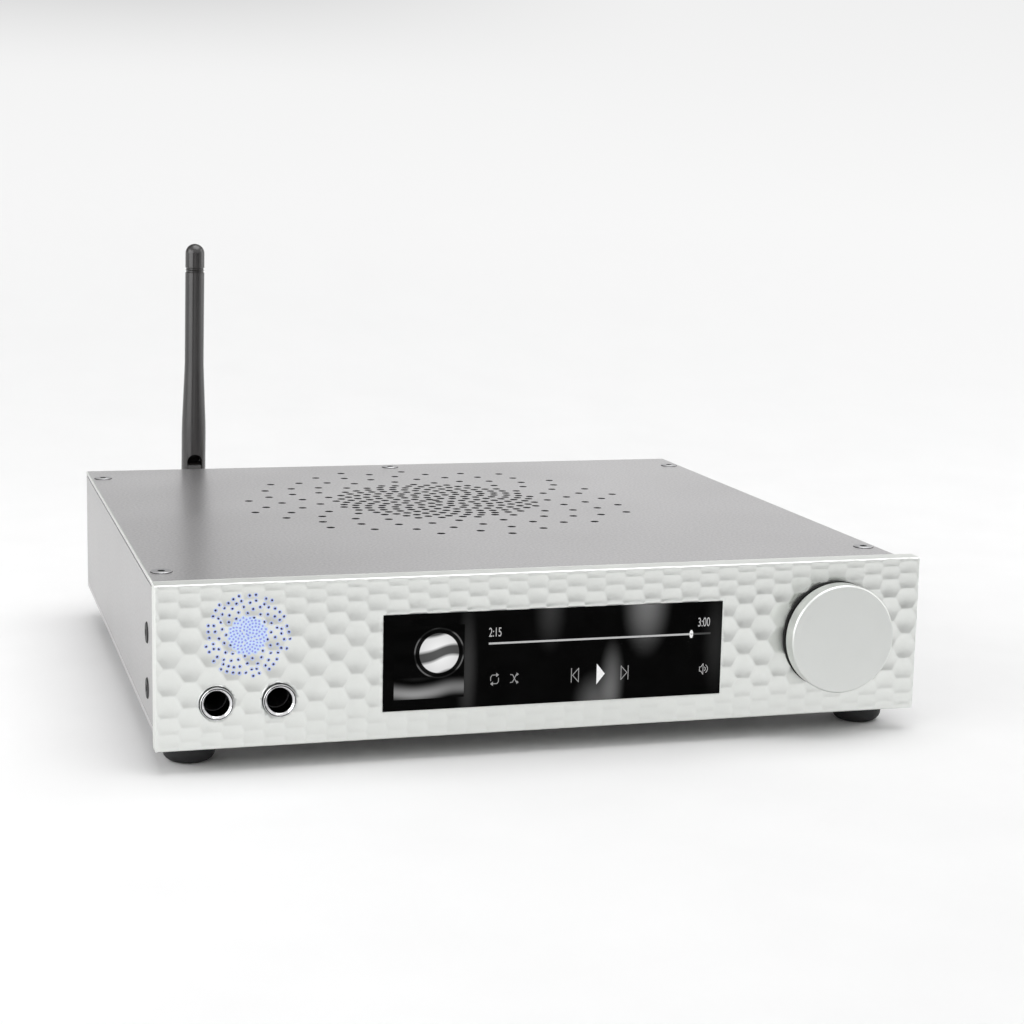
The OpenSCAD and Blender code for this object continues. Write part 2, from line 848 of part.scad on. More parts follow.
module encoder_nut() {
    color([0.6, 0.6, 0.62]) difference() {
        translate([knob_x, panel_y + nut_recess_t - nut_t, knob_z]) rotate([-90, 0, 0])
            cylinder(h = nut_t, r = nut_r, $fn = 6);
        rod_y(knob_x, knob_z, bush_r + running_gap, panel_y - over, back_y);
    }
}

// Display and the board behind it

module display_module() {
    w = display_w / 2 - glass_ledge - seat_gap;
    h = display_h / 2 - glass_ledge - seat_gap;
    color([0.08, 0.08, 0.09]) {
        slab([-w, panel_y + glass_t, display_z - h], [w, back_y, display_z + h]);
        slab([-w - display_step, back_y, display_z - h - display_step],
             [w + display_step, panel_y + front_board_y, display_z + h + display_step]);
    }
}

module front_board() {
    color([0.08, 0.3, 0.16])
        slab([front_board_x0, panel_y + front_board_y, front_board_z0],
             [front_board_x1, panel_y + front_board_y + board_t, front_board_z1]);
}

// Flat lead from the front board, down and back to its socket on the main board
module display_ribbon() {
    y0 = panel_y + front_board_y + board_t;
    y1 = ribbon_end;
    z0 = front_board_z1 - ribbon_drop;
    z1 = ribbon_z;
    b = ribbon_bend;
    t = ribbon_t;
    down_y = y0 + t + b;
    run_y = down_y + b;
    color([0.85, 0.85, 0.8])
        translate([ribbon_x - ribbon_w / 2, 0, 0]) rotate([90, 0, 90]) linear_extrude(ribbon_w) {
            translate([y0, z0 - t]) square([2 * t, t]);
            translate([y0 + 2 * t, z0 - b]) ribbon_corner([0, 0]);
            translate([down_y, z1 + b]) square([t, z0 - z1 - 2 * b]);
            translate([run_y, z1 + b]) ribbon_corner([-b, -b]);
            translate([run_y, z1]) square([y1 - run_y, t]);
        }
}

// Quarter ring of the flat lead, in the quadrant that starts at the given corner
module ribbon_corner(corner) {
    intersection() {
        difference() {
            circle(r = ribbon_bend);
            circle(r = ribbon_bend - ribbon_t);
        }
        translate(corner) square(ribbon_bend);
    }
}

// Headphone sockets

module headphone_sockets() {
    h = jack_body_half_h;
    color([0.1, 0.1, 0.1]) for (x = jack_x) difference() {
        slab([x - jack_body_w / 2, back_y, jack_z - h],
             [x + jack_body_w / 2, back_y + jack_body_d, jack_z + h]);
        rod_y(x, jack_z, jack_bore_r, back_y - over, back_y + jack_bore_depth);
    }
}

module headphone_rings() {
    color([0.9, 0.9, 0.92]) for (x = jack_x) difference() {
        union() {
            rod_y(x, jack_z, jack_ring_d / 2, panel_y - jack_ring_t, panel_y);
            rod_y(x, jack_z, jack_sleeve_r, panel_y - jack_ring_t / 2, back_y);
        }
        rod_y(x, jack_z, jack_bore_r, panel_y - jack_ring_t - over, back_y + over);
    }
}

module headphone_board() {
    y = back_y + jack_body_d;
    h = jack_body_half_h;
    color([0.08, 0.3, 0.16])
        slab([jack_x[0] - jack_body_w / 2, y, jack_z - h],
             [jack_x[1] + jack_body_w / 2, y + board_t, jack_z + h]);
}

// Lights

module light_diffuser() {
    color([0.75, 0.85, 0.95])
        rod_y(light_x, light_z, light_pocket_r - seat_gap, panel_y + light_wall, back_y);
}

module light_board() {
    h = light_board_w / 2;
    color([0.08, 0.3, 0.16])
        slab([light_x - h, back_y, light_z - h], [light_x + h, back_y + light_board_t, light_z + h]);
}

// Main board and power supply

function board_y(share) = board_y0 + share * main_board_d;

module board_blank(x0, x1) {
    color([0.08, 0.3, 0.16]) difference() {
        slab([x0, board_y0, board_z], [x1, board_y1, board_top]);
        at_standoffs() cylinder(h = standoff_h + board_t + over, r = screw_r + seat_gap);
    }
}

// Main board, cut clear of the headphone sockets where it reaches them
module main_board() {
    color([0.08, 0.3, 0.16]) difference() {
        board_blank(main_x0, main_x1);
        slab([case_x0, back_y, in_z0], [jack_x[1] + jack_body_w / 2 + board_gap, headphone_end, in_z1]);
    }
}

module supply_board() {
    board_blank(supply_x0, supply_x1);
}

module board_standoffs() {
    color([0.75, 0.65, 0.35]) at_standoffs() difference() {
        cylinder(h = standoff_h, r = standoff_r);
        translate([0, 0, -over]) cylinder(h = standoff_h + 2 * over, r = screw_r + seat_gap);
    }
}

module board_screws() {
    color([0.62, 0.62, 0.63])
        at_standoffs() translate([0, 0, standoff_h + board_t]) pan_screw(board_screw_len);
}

// Plug blocks that join the boards: ribbon socket, module header and supply link
module board_connectors() {
    color([0.92, 0.92, 0.88]) {
        difference() {
            slab([ribbon_x - ribbon_w / 2 - plug_wall, board_y0 + plug_wall, board_top],
                 [ribbon_x + ribbon_w / 2 + plug_wall, ribbon_end + plug_wall, board_top + ribbon_plug_h]);
            slab([ribbon_x - ribbon_w / 2 - seat_gap, board_y0, ribbon_z - seat_gap],
                 [ribbon_x + ribbon_w / 2 + seat_gap, ribbon_end + seat_gap,
                  ribbon_z + ribbon_t + seat_gap]);
        }
        for (y = [module_y1 - module_d + header_edge, module_y1 - header_edge - header_w])
            slab([module_x0 + header_inset, y, board_top],
                 [module_x0 + module_w - header_inset, y + header_w, module_z]);
        slab([main_x1 - link_bite, board_y(link_share), board_top],
             [supply_x0 + link_bite, board_y(link_share) + link_d, board_top + link_h]);
    }
}

module streamer_module() {
    color([0.07, 0.2, 0.4]) {
        slab([module_x0, module_y1 - module_d, module_z],
             [module_x0 + module_w, module_y1, module_z + module_t]);
        translate([antenna_x, lead_y, module_z + module_t]) cylinder(h = module_t, r = 2 * lead_r);
    }
}

// Pressed metal can over the radio
module module_shield() {
    z = module_z + module_t;
    color([0.78, 0.78, 0.8])
        slab([module_x0 + shield_inset, module_y1 - module_d + shield_inset, z],
             [module_x0 + module_w - shield_inset, module_y1 - 2 * shield_inset, z + shield_t]);
}

// Finned block on the processor
module heat_sink() {
    y0 = board_y(sink_share);
    step = (sink_w - sink_fin) / (sink_fins - 1);
    color([0.12, 0.12, 0.13]) {
        slab([sink_x, y0, board_top], [sink_x + sink_w, y0 + sink_w, board_top + sink_plate]);
        for (i = [0:sink_fins - 1])
            translate([sink_x + i * step, y0, board_top + sink_plate])
                cube([sink_fin, sink_w, sink_h - sink_plate]);
    }
}

module converter_chips() {
    x0 = main_x0 + chip_inset;
    y0 = board_y(chip_share);
    color([0.1, 0.1, 0.1]) for (i = [0:3]) for (j = [0:1])
        translate([x0 + chip_pitch * i, y0 + chip_row_pitch * j, board_top]) cube([chip_w, chip_w, chip_h]);
}

module filter_capacitors() {
    color([0.15, 0.15, 0.2]) for (i = [0:filter_count - 1])
        translate([main_x0 + filter_inset + filter_pitch * i, board_y(filter_share), board_top])
            cylinder(h = filter_h, r = filter_r);
}

// Laminated core with a window on each side of its middle leg
module transformer_core() {
    window_x = core_leg / 2 + core_window_w / 2;
    color([0.4, 0.4, 0.42]) translate([supply_mid, board_y(core_share), board_top]) rotate([90, 0, 0])
        linear_extrude(core_t, center = true) difference() {
            translate([-core_w / 2, 0]) square([core_w, core_h]);
            for (s = [-1, 1]) translate([s * window_x - core_window_w / 2, core_yoke])
                square([core_window_w, core_window_h]);
        }
}

module transformer_winding() {
    leg_w = core_leg + 2 * seat_gap;
    leg_t = core_t + 2 * seat_gap;
    color([0.75, 0.4, 0.15])
        translate([supply_mid, board_y(core_share), board_top + core_yoke + seat_gap])
            linear_extrude(core_window_h - 2 * seat_gap) difference() {
                translate([-coil_w / 2, -coil_d / 2]) square([coil_w, coil_d]);
                translate([-leg_w / 2, -leg_t / 2]) square([leg_w, leg_t]);
            }
}

module supply_capacitors() {
    color([0.1, 0.1, 0.12]) for (i = [0:bulk_count - 1])
        translate([supply_x0 + bulk_inset + bulk_pitch * i, board_y(bulk_share), board_top])
            cylinder(h = bulk_h, r = bulk_r);
}

// Choke between the mains inlet and the transformer
module mains_filter() {
    x1 = supply_x1 - supply_edge;
    y0 = supply_rear_y;
    color([0.85, 0.8, 0.25])
        slab([x1 - choke_w, y0, board_top], [x1, y0 + choke_d, board_top + choke_h]);
}

module fuse_holder() {
    x0 = supply_x0 + supply_edge;
    y0 = supply_rear_y;
    color([0.12, 0.12, 0.12])
        slab([x0, y0, board_top], [x0 + fuse_w, y0 + fuse_d, board_top + fuse_h]);
}

// Rear sockets

module network_socket() {
    b = network_body;
    y1 = rear_y + socket_proud;
    color([0.75, 0.75, 0.77]) difference() {
        slab([network_x - b[0] / 2, y1 - b[1], board_top], [network_x + b[0] / 2, y1, board_top + b[2]]);
        slab([network_x - network_w / 2, y1 - network_cavity_d, board_top + network_sill],
             [network_x + network_w / 2, y1 + over, board_top + network_sill + network_h]);
    }
}

module usb_socket() {
    b = usb_body;
    y1 = rear_y + socket_proud;
    color([0.75, 0.75, 0.77]) {
        difference() {
            slab([usb_x - b[0] / 2, y1 - b[1], board_top], [usb_x + b[0] / 2, y1, board_top + b[2]]);
            slab([usb_x - b[0] / 2 + usb_wall, y1 - usb_cavity_d, board_top + usb_wall],
                 [usb_x + b[0] / 2 - usb_wall, y1 + over, board_top + b[2] - usb_wall]);
        }
        translate([usb_x - usb_tongue[0] / 2, y1 - usb_cavity_d - over, board_top + b[2] / 2])
            cube(usb_tongue);
    }
}

module phono_sockets() {
    color([0.85, 0.68, 0.3]) for (p = phono_spots) difference() {
        union() {
            rod_y(p[0], p[1], phono_r, in_y1 - phono_tail, rear_y + phono_len);
            rod_y(p[0], p[1], phono_flange_r, rear_y, rear_y + phono_flange_t);
        }
        rod_y(p[0], p[1], phono_bore_r, rear_y + phono_floor, rear_y + phono_len + over);
    }
}

module xlr_sockets() {
    w = xlr_flange_w / 2;
    h = xlr_flange_h / 2;
    front = rear_y + xlr_flange_t;
    color([0.12, 0.12, 0.13]) for (x = xlr_x) difference() {
        union() {
            rod_y(x, xlr_z, xlr_body_r, rear_y - xlr_body_d, rear_y + over);
            slab([x - w, rear_y, xlr_z - h], [x + w, front, xlr_z + h]);
        }
        rod_y(x, xlr_z, xlr_bore_r, front - xlr_cavity_d, front + over);
    }
}

module xlr_pins() {
    y0 = rear_y + xlr_flange_t - xlr_cavity_d;
    color([0.85, 0.68, 0.3]) for (x = xlr_x) for (a = [30, 150, 270])
        rod_y(x + xlr_pin_circle * cos(a), xlr_z + xlr_pin_circle * sin(a), xlr_pin_r, y0, rear_y);
}

module mains_inlet() {
    w = inlet_body_w / 2;
    h = inlet_body_h / 2;
    rim = inlet_rim;
    front = rear_y + inlet_flange_t;
    color([0.08, 0.08, 0.08]) difference() {
        union() {
            slab([inlet_x - w, rear_y - inlet_body_d, inlet_z - h],
                 [inlet_x + w, rear_y + over, inlet_z + h]);
            slab([inlet_x - w - rim, rear_y, inlet_z - h - rim],
                 [inlet_x + w + rim, front, inlet_z + h + rim]);
        }
        slab([inlet_x - inlet_w / 2, front - inlet_cavity_d, inlet_z - inlet_h / 2],
             [inlet_x + inlet_w / 2, front + over, inlet_z + inlet_h / 2]);
    }
}

module mains_pins() {
    y0 = rear_y + inlet_flange_t - inlet_cavity_d;
    w = inlet_pin_w;
    h = inlet_pin_h;
    spots = [[-inlet_pin_pitch, -inlet_pin_rise], [inlet_pin_pitch, -inlet_pin_rise], [0, inlet_pin_rise]];
    color([0.8, 0.8, 0.82]) for (p = spots)
        translate([inlet_x + p[0] - w / 2, y0, inlet_z + p[1] - h / 2]) cube([w, inlet_pin_len, h]);
}

// Antenna

module antenna_socket() {
    color([0.8, 0.66, 0.3]) {
        rod_y(antenna_x, antenna_z, sma_r, in_y1 - sma_tail, rear_y + sma_end);
        translate([antenna_x, in_y1 - sma_flange_t, antenna_z]) rotate([-90, 0, 0])
            cylinder(h = sma_flange_t, r = collar_r, $fn = 6);
    }
}

// Panel nut on the socket
module antenna_nut() {
    color([0.8, 0.66, 0.3]) difference() {
        translate([antenna_x, rear_y, antenna_z]) rotate([-90, 0, 0])
            cylinder(h = sma_nut_t, r = collar_r, $fn = 6);
        rod_y(antenna_x, antenna_z, sma_r + running_gap, rear_y - over, rear_y + sma_nut_t + over);
    }
}

// Thin lead from the socket, bent down to the streamer module
module antenna_lead() {
    y = in_y1 - sma_tail;
    z0 = module_z + 2 * module_t;
    color([0.1, 0.1, 0.1]) {
        rod_y(antenna_x, antenna_z, lead_r, y - lead_run, y);
        translate([antenna_x, y - lead_run, antenna_z - lead_bend]) rotate([90, 0, -90])
            rotate_extrude(angle = 90) translate([lead_bend, 0]) circle(r = lead_r);
        translate([antenna_x, lead_y, z0]) cylinder(h = antenna_z - lead_bend - z0, r = lead_r);
    }
}

module antenna_collar() {
    color([0.1, 0.1, 0.1]) difference() {
        rod_y(antenna_x, antenna_z, collar_r, rear_y + collar_start, rear_y + collar_end);
        rod_y(antenna_x, antenna_z, sma_r + running_gap, rear_y, rear_y + collar_end - collar_lip);
        rod_y(antenna_x, antenna_z, spigot_r + running_gap, rear_y, rear_y + collar_end + over);
    }
}

// Turning foot of the antenna: a spigot held by the collar, a shoulder and a tongue for the folding pin
module antenna_base() {
    flange_y = rear_y + collar_end - collar_lip - running_gap;
    shoulder_y = rear_y + collar_end + moving_gap;
    color([0.1, 0.1, 0.1]) difference() {
        union() {
            rod_y(antenna_x, antenna_z, spigot_flange_r, flange_y - spigot_flange_t, flange_y);
            rod_y(antenna_x, antenna_z, spigot_r,
                  flange_y - spigot_flange_t / 2, shoulder_y + shoulder_t / 2);
            rod_y(antenna_x, antenna_z, collar_r, shoulder_y, shoulder_y + shoulder_t);
            slab([antenna_x - tongue_t / 2, shoulder_y + shoulder_t / 2, antenna_z - tongue_half_h],
                 [antenna_x + tongue_t / 2, antenna_y, antenna_z + tongue_half_h]);
            rod_x(antenna_y, antenna_z, tongue_r, antenna_x - tongue_t / 2, antenna_x + tongue_t / 2);
        }
        rod_x(antenna_y, antenna_z, fold_pin_r + running_gap, antenna_x - tongue_t, antenna_x + tongue_t);
    }
}

module antenna_pin() {
    half = whip_base_r - moving_gap;
    color([0.6, 0.6, 0.62]) rod_x(antenna_y, antenna_z, fold_pin_r, antenna_x - half, antenna_x + half);
}

module antenna_whip() {
    tip = whip_length;
    groove = tip - whip_groove;
    dome = whip_tip_r;
    color([0.08, 0.08, 0.08]) translate([antenna_x, antenna_y, antenna_z]) difference() {
        union() {
            rotate_extrude() polygon(concat(
                [[0, 0], [whip_base_r, 0], [whip_base_r, whip_straight], [whip_tip_r, whip_taper_end],
                 [whip_tip_r, groove - whip_groove_w], [whip_tip_r - whip_groove_d, groove - whip_groove_w],
                 [whip_tip_r - whip_groove_d, groove], [whip_tip_r, groove]],
                [for (a = [0:15:90]) [dome * cos(a), tip - dome / 2 + dome / 2 * sin(a)]]
            ));
            intersection() {
                translate([0, 0, -whip_base_r]) cylinder(h = whip_base_r + over, r = whip_base_r);
                rotate([0, 90, 0]) cylinder(h = whip_base_d, r = whip_base_r, center = true);
            }
        }
        slab([-fork_slot / 2, -whip_base_d, -whip_base_d], [fork_slot / 2, whip_base_d, fork_depth]);
        translate([0, 0, fork_depth]) rotate([90, 0, 0])
            cylinder(h = 2 * whip_base_d, r = fork_slot / 2, center = true);
        rotate([0, 90, 0]) cylinder(h = whip_base_d + over, r = fold_pin_r + running_gap, center = true);
    }
}

front_panel();
display_window();
top_cover();
base_plate();
left_side();
right_side();
rear_panel();
front_corner_blocks();
rear_corner_blocks();
rear_middle_block();
cover_screws();
side_screws();
base_screws();
rear_screws();
panel_screws();
rubber_feet();
foot_screws();
volume_knob();
knob_grub_screw();
encoder_shaft();
encoder_plunger();
encoder_body();
encoder_nut();
display_module();
front_board();
display_ribbon();
headphone_sockets();
headphone_rings();
headphone_board();
light_diffuser();
light_board();
main_board();
supply_board();
board_standoffs();
board_screws();
board_connectors();
streamer_module();
module_shield();
heat_sink();
converter_chips();
filter_capacitors();
transformer_core();
transformer_winding();
supply_capacitors();
mains_filter();
fuse_holder();
network_socket();
usb_socket();
phono_sockets();
xlr_sockets();
xlr_pins();
mains_inlet();
mains_pins();
antenna_socket();
antenna_nut();
antenna_lead();
antenna_collar();
antenna_base();
antenna_pin();
antenna_whip();
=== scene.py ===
import json
import math

import bmesh
import bpy
from mathutils import Matrix, Vector
from mathutils.geometry import delaunay_2d_cdt

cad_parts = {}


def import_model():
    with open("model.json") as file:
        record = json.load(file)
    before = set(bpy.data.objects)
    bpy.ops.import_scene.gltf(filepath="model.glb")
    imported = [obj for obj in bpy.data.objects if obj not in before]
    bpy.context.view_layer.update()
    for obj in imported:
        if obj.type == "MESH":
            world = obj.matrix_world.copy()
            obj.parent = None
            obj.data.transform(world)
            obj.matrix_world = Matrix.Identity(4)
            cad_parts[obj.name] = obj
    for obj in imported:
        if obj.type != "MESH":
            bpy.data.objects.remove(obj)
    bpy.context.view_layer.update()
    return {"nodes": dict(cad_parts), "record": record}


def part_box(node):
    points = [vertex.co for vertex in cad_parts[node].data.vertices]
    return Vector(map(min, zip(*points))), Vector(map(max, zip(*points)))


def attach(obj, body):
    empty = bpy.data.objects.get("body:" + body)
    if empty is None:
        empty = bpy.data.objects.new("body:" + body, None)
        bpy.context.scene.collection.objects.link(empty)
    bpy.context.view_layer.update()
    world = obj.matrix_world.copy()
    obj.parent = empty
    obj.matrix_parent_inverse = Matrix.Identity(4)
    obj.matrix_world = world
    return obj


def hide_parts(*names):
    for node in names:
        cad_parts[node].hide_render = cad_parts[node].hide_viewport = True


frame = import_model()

# Looks of a desktop network music streamer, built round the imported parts.
# Sizes of the part are in millimetres and become metres when a mesh is made; the stage is in metres.

MM = 0.001
nodes = frame["nodes"]


def box_mm(node):
    """Lowest corner, highest corner and middle of a CAD node, in millimetres."""
    lo, hi = (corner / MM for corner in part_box(node))
    return lo, hi, (lo + hi) / 2


def solids(node):
    """Lowest corner, highest corner and middle of each separate solid in a CAD node, in millimetres."""
    mesh = nodes[node].data
    keys = [tuple(round(c / MM, 3) for c in v.co) for v in mesh.vertices]
    parent = {key: key for key in keys}

    def root(key):
        while parent[key] != key:
            parent[key] = parent[parent[key]]
            key = parent[key]
        return key

    for edge in mesh.edges:
        a, b = edge.vertices
        parent[root(keys[a])] = root(keys[b])
    groups = {}
    for key in parent:
        groups.setdefault(root(key), []).append(key)
    boxes = []
    for group in groups.values():
        lo = Vector([min(along) for along in zip(*group)])
        hi = Vector([max(along) for along in zip(*group)])
        boxes.append((lo, hi, (lo + hi) / 2))
    return sorted(boxes, key=lambda box: tuple(box[0]))


# Places taken from the frame
panel_lo, panel_hi, _ = box_mm("front_panel")
glass_lo, glass_hi, GLASS = box_mm("display_window")
knob_lo, knob_hi, KNOB = box_mm("volume_knob")
ring_lo, ring_hi, _ = box_mm("headphone_rings")
_, _, LIGHT = box_mm("light_diffuser")
cover_lo, cover_hi, _ = box_mm("top_cover")
whip_lo, whip_hi, _ = box_mm("antenna_whip")
pin_lo, pin_hi, PIN = box_mm("antenna_pin")
collar_lo, collar_hi, COLLAR = box_mm("antenna_collar")

FACE_Y = panel_lo.y
BACK_Y = panel_hi.y
PANEL_MID_Z = (panel_lo.z + panel_hi.z) / 2
PANEL_HALF_W = panel_hi.x
PANEL_HALF_H = (panel_hi.z - panel_lo.z) / 2
SCREEN_W = glass_hi.x - glass_lo.x
SCREEN_H = glass_hi.z - glass_lo.z
KNOB_R = (knob_hi.x - knob_lo.x) / 2
RING_R = (ring_hi.z - ring_lo.z) / 2
JACK_X = (ring_lo.x + RING_R, ring_hi.x - RING_R)
JACK_Z = (ring_lo.z + ring_hi.z) / 2
SHEET_T = cover_hi.z - cover_lo.z
WHIP_BASE_R = (whip_hi.x - whip_lo.x) / 2
PIN_R = (pin_hi.z - pin_lo.z) / 2
COLLAR_R = (collar_hi.x - collar_lo.x) / 2


# Shader nodes

def new_material(name):
    """Material with its node tree and its surface shader."""
    mat = bpy.data.materials.new(name)
    mat.use_nodes = True
    tree = mat.node_tree
    return mat, tree, tree.nodes["Principled BSDF"]


def feed(tree, node, inputs):
    """Give a node's inputs their values: outputs of other nodes are linked, the rest are constants."""
    for key, value in inputs.items():
        if isinstance(value, bpy.types.NodeSocket):
            tree.links.new(value, node.inputs[key])
        else:
            node.inputs[key].default_value = value


def add_node(tree, kind, inputs):
    """New shader node of a kind, with its inputs by name or number."""
    node = tree.nodes.new("ShaderNode" + kind)
    feed(tree, node, inputs)
    return node


def own_place(tree):
    """Place in the object's own coordinates, in metres."""
    return add_node(tree, "TexCoord", {}).outputs["Object"]


def grain_noise(tree, size, detail=3.0, stretch=(1, 1, 1)):
    """Noise with features of the given size in millimetres, fixed to the object."""
    place = add_node(tree, "Mapping", {"Vector": own_place(tree), "Scale": stretch})
    inputs = {"Vector": place.outputs["Vector"], "Scale": 1 / (size * MM), "Detail": detail}
    return add_node(tree, "TexNoise", inputs).outputs["Fac"]


def ramp(tree, value, stops):
    """Blend through colours given as (place, colour)."""
    node = add_node(tree, "ValToRGB", {"Fac": value})
    elements = node.color_ramp.elements
    for element, (place, colour) in zip(elements, (stops[0], stops[-1])):
        element.position = place
        element.color = (*colour, 1)
    for place, colour in stops[1:-1]:
        elements.new(place).color = (*colour, 1)
    return node.outputs["Color"]


def greys(*stops):
    """Stops of a ramp from pairs of place and grey."""
    return [(place, (grey, grey, grey)) for place, grey in stops]


def remap(tree, value, source, target, smooth=False):
    """Map a value from one range onto another, held at its ends."""
    inputs = {"Value": value, "From Min": source[0], "From Max": source[1],
              "To Min": target[0], "To Max": target[1]}
    node = add_node(tree, "MapRange", inputs)
    if smooth:
        node.interpolation_type = "SMOOTHSTEP"
    return node.outputs["Result"]


def combine(tree, operation, first, second):
    """Arithmetic on two outputs, or on an output and a number."""
    node = add_node(tree, "Math", {0: first, 1: second})
    node.operation = operation
    return node.outputs["Value"]


def distance(tree, place, centre=(0, 0, 0)):
    """Distance of a place from a centre."""
    node = add_node(tree, "VectorMath", {0: place, 1: centre})
    node.operation = "DISTANCE"
    return node.outputs["Value"]


def split(tree, place):
    """The x, y and z outputs of a place."""
    return add_node(tree, "SeparateXYZ", {"Vector": place}).outputs


def mix_shaders(tree, share, first, second, output):
    """Send a blend of two shaders to the output node."""
    mix = add_node(tree, "MixShader", {"Fac": share, 1: first, 2: second})
    feed(tree, output, {"Surface": mix.outputs["Shader"]})


# Materials

# Range that holds most of the noise
GRAIN = (0.3, 0.7)
PATCH_SIZE = 60
PATCH_CHANGE = 0.07


def finish(name, colour, metallic, roughness, size, change, depth, stretch=(1, 1, 1)):
    """Surface with grain of the given size: its colour and height vary with it, its roughness in patches."""
    mat, tree, shader = new_material(name)
    grain = grain_noise(tree, size, stretch=stretch)
    patches = grain_noise(tree, size * PATCH_SIZE, detail=2.0)
    low = [c * (1 - change) for c in colour]
    high = [min(1.0, c * (1 + change)) for c in colour]
    rough = (roughness * (1 - PATCH_CHANGE), min(1.0, roughness * (1 + PATCH_CHANGE)))
    bump = add_node(tree, "Bump", {"Strength": 1.0, "Distance": depth * MM, "Height": grain})
    feed(tree, shader, {
        "Base Color": ramp(tree, grain, list(zip(GRAIN, (low, high)))),
        "Metallic": metallic,
        "Roughness": remap(tree, patches, GRAIN, rough),
        "Normal": bump.outputs["Normal"],
    })
    return mat


# Colour, metallic, roughness, grain size in mm, change of colour, depth of grain in mm, stretch.
# All but the last three are the material slots of the CAD nodes.
FINISHES = {
    "panel_silver": ((0.80, 0.815, 0.79), 1.0, 0.34, 0.12, 0.02, 0.0012),
    "knob_silver": ((0.74, 0.755, 0.735), 1.0, 0.38, 0.10, 0.015, 0.001),
    "cover_grey": ((0.565, 0.555, 0.56), 0.85, 0.32, 0.80, 0.14, 0.012),
    # Side sheets: the cover's kind of finish, with a darker colour than the cover as painted shade
    "side_silver": ((0.46, 0.455, 0.455), 0.85, 0.36, 0.80, 0.10, 0.012),
    "case_grey": ((0.565, 0.555, 0.56), 0.85, 0.36, 0.80, 0.14, 0.012),
    "block_aluminium": ((0.62, 0.62, 0.63), 1.0, 0.38, 0.15, 0.06, 0.004, (1, 12, 1)),
    "screw_steel": ((0.50, 0.50, 0.51), 1.0, 0.34, 0.10, 0.08, 0.003),
    "screw_black": ((0.012, 0.012, 0.012), 0.2, 0.55, 0.12, 0.15, 0.004),
    "foot_rubber": ((0.016, 0.016, 0.017), 0.0, 0.72, 0.35, 0.20, 0.015),
    "display_black": ((0.02, 0.02, 0.022), 0.0, 0.55, 0.25, 0.15, 0.006),
    "shaft_steel": ((0.60, 0.60, 0.62), 1.0, 0.28, 0.12, 0.06, 0.003),
    "switch_metal": ((0.45, 0.45, 0.47), 1.0, 0.40, 0.20, 0.08, 0.004),
    "white_plastic": ((0.80, 0.80, 0.75), 0.0, 0.50, 0.40, 0.04, 0.006),
    "board_green": ((0.02, 0.16, 0.06), 0.0, 0.38, 0.80, 0.18, 0.010),
    "board_blue": ((0.02, 0.08, 0.25), 0.0, 0.38, 0.80, 0.18, 0.010),
    "ribbon_white": ((0.78, 0.78, 0.73), 0.0, 0.45, 0.60, 0.05, 0.006, (14, 1, 1)),
    "socket_black": ((0.022, 0.022, 0.023), 0.0, 0.46, 0.20, 0.15, 0.006),
    "ring_chrome": ((0.74, 0.74, 0.75), 1.0, 0.07, 0.60, 0.02, 0.0005),
    "diffuser_white": ((0.75, 0.80, 0.88), 0.0, 0.50, 0.50, 0.03, 0.004),
    "standoff_brass": ((0.72, 0.56, 0.26), 1.0, 0.30, 0.15, 0.08, 0.003),
    "shield_tin": ((0.68, 0.68, 0.70), 1.0, 0.30, 0.25, 0.06, 0.003),
    "sink_black": ((0.03, 0.03, 0.03), 0.7, 0.45, 0.20, 0.15, 0.005),
    "chip_black": ((0.03, 0.03, 0.035), 0.0, 0.55, 0.15, 0.15, 0.005),
    "core_steel": ((0.28, 0.28, 0.30), 0.8, 0.45, 0.50, 0.18, 0.030, (1, 0.02, 1)),
    "winding_copper": ((0.62, 0.30, 0.10), 0.8, 0.40, 0.30, 0.18, 0.020, (0.05, 0.05, 1)),
    "filter_yellow": ((0.75, 0.62, 0.08), 0.0, 0.45, 0.40, 0.05, 0.006),
    "contact_gold": ((0.83, 0.62, 0.24), 1.0, 0.22, 0.20, 0.06, 0.002),
    "blade_nickel": ((0.74, 0.73, 0.70), 1.0, 0.22, 0.15, 0.05, 0.002),
    "antenna_black": ((0.018, 0.016, 0.016), 0.0, 0.23, 0.30, 0.20, 0.006),
    "collar_black": ((0.03, 0.03, 0.031), 0.7, 0.38, 0.15, 0.15, 0.004),
    "lead_black": ((0.02, 0.02, 0.02), 0.0, 0.55, 0.20, 0.15, 0.006),
    # Dark lining of hole walls, grooves, gaps, forks and key holes: painted shade
    "painted_shade_lining": ((0.02, 0.02, 0.02), 0.0, 0.7, 0.2, 0.15, 0.004),
    "rim_silver": ((0.80, 0.815, 0.79), 1.0, 0.55, 0.12, 0.02, 0.0015),
    # Flat black of the ring behind the knob: painted shade
    "painted_shade_black": ((0.010, 0.010, 0.010), 0.0, 0.9, 0.3, 0.25, 0.03),
}
ANTENNA_SHEEN = 0.9

# Painted reflections on the display window, soft sheens put into its base colour: share across, share down,
# half width and half height in mm, strength
PAINTED_SHEENS = (
    (0.240, 0.60, 3.5, 22.0, 0.045),
    (0.480, 0.00, 5.5, 14.0, 0.040),
    (0.768, -0.05, 8.0, 17.5, 0.210),
    (0.625, 1.02, 8.0, 10.0, 0.130),
    (0.668, 0.80, 4.2, 13.0, 0.150),
    (0.985, 0.45, 5.0, 18.0, 0.022),
)
SMUDGE_SIZE = 6.0
SMUDGE_TONE = 0.003
GLASS_SHEEN = 0.02
GLASS_PATCH = 20.0
GLASS_ROUGH = (0.10, 0.16)


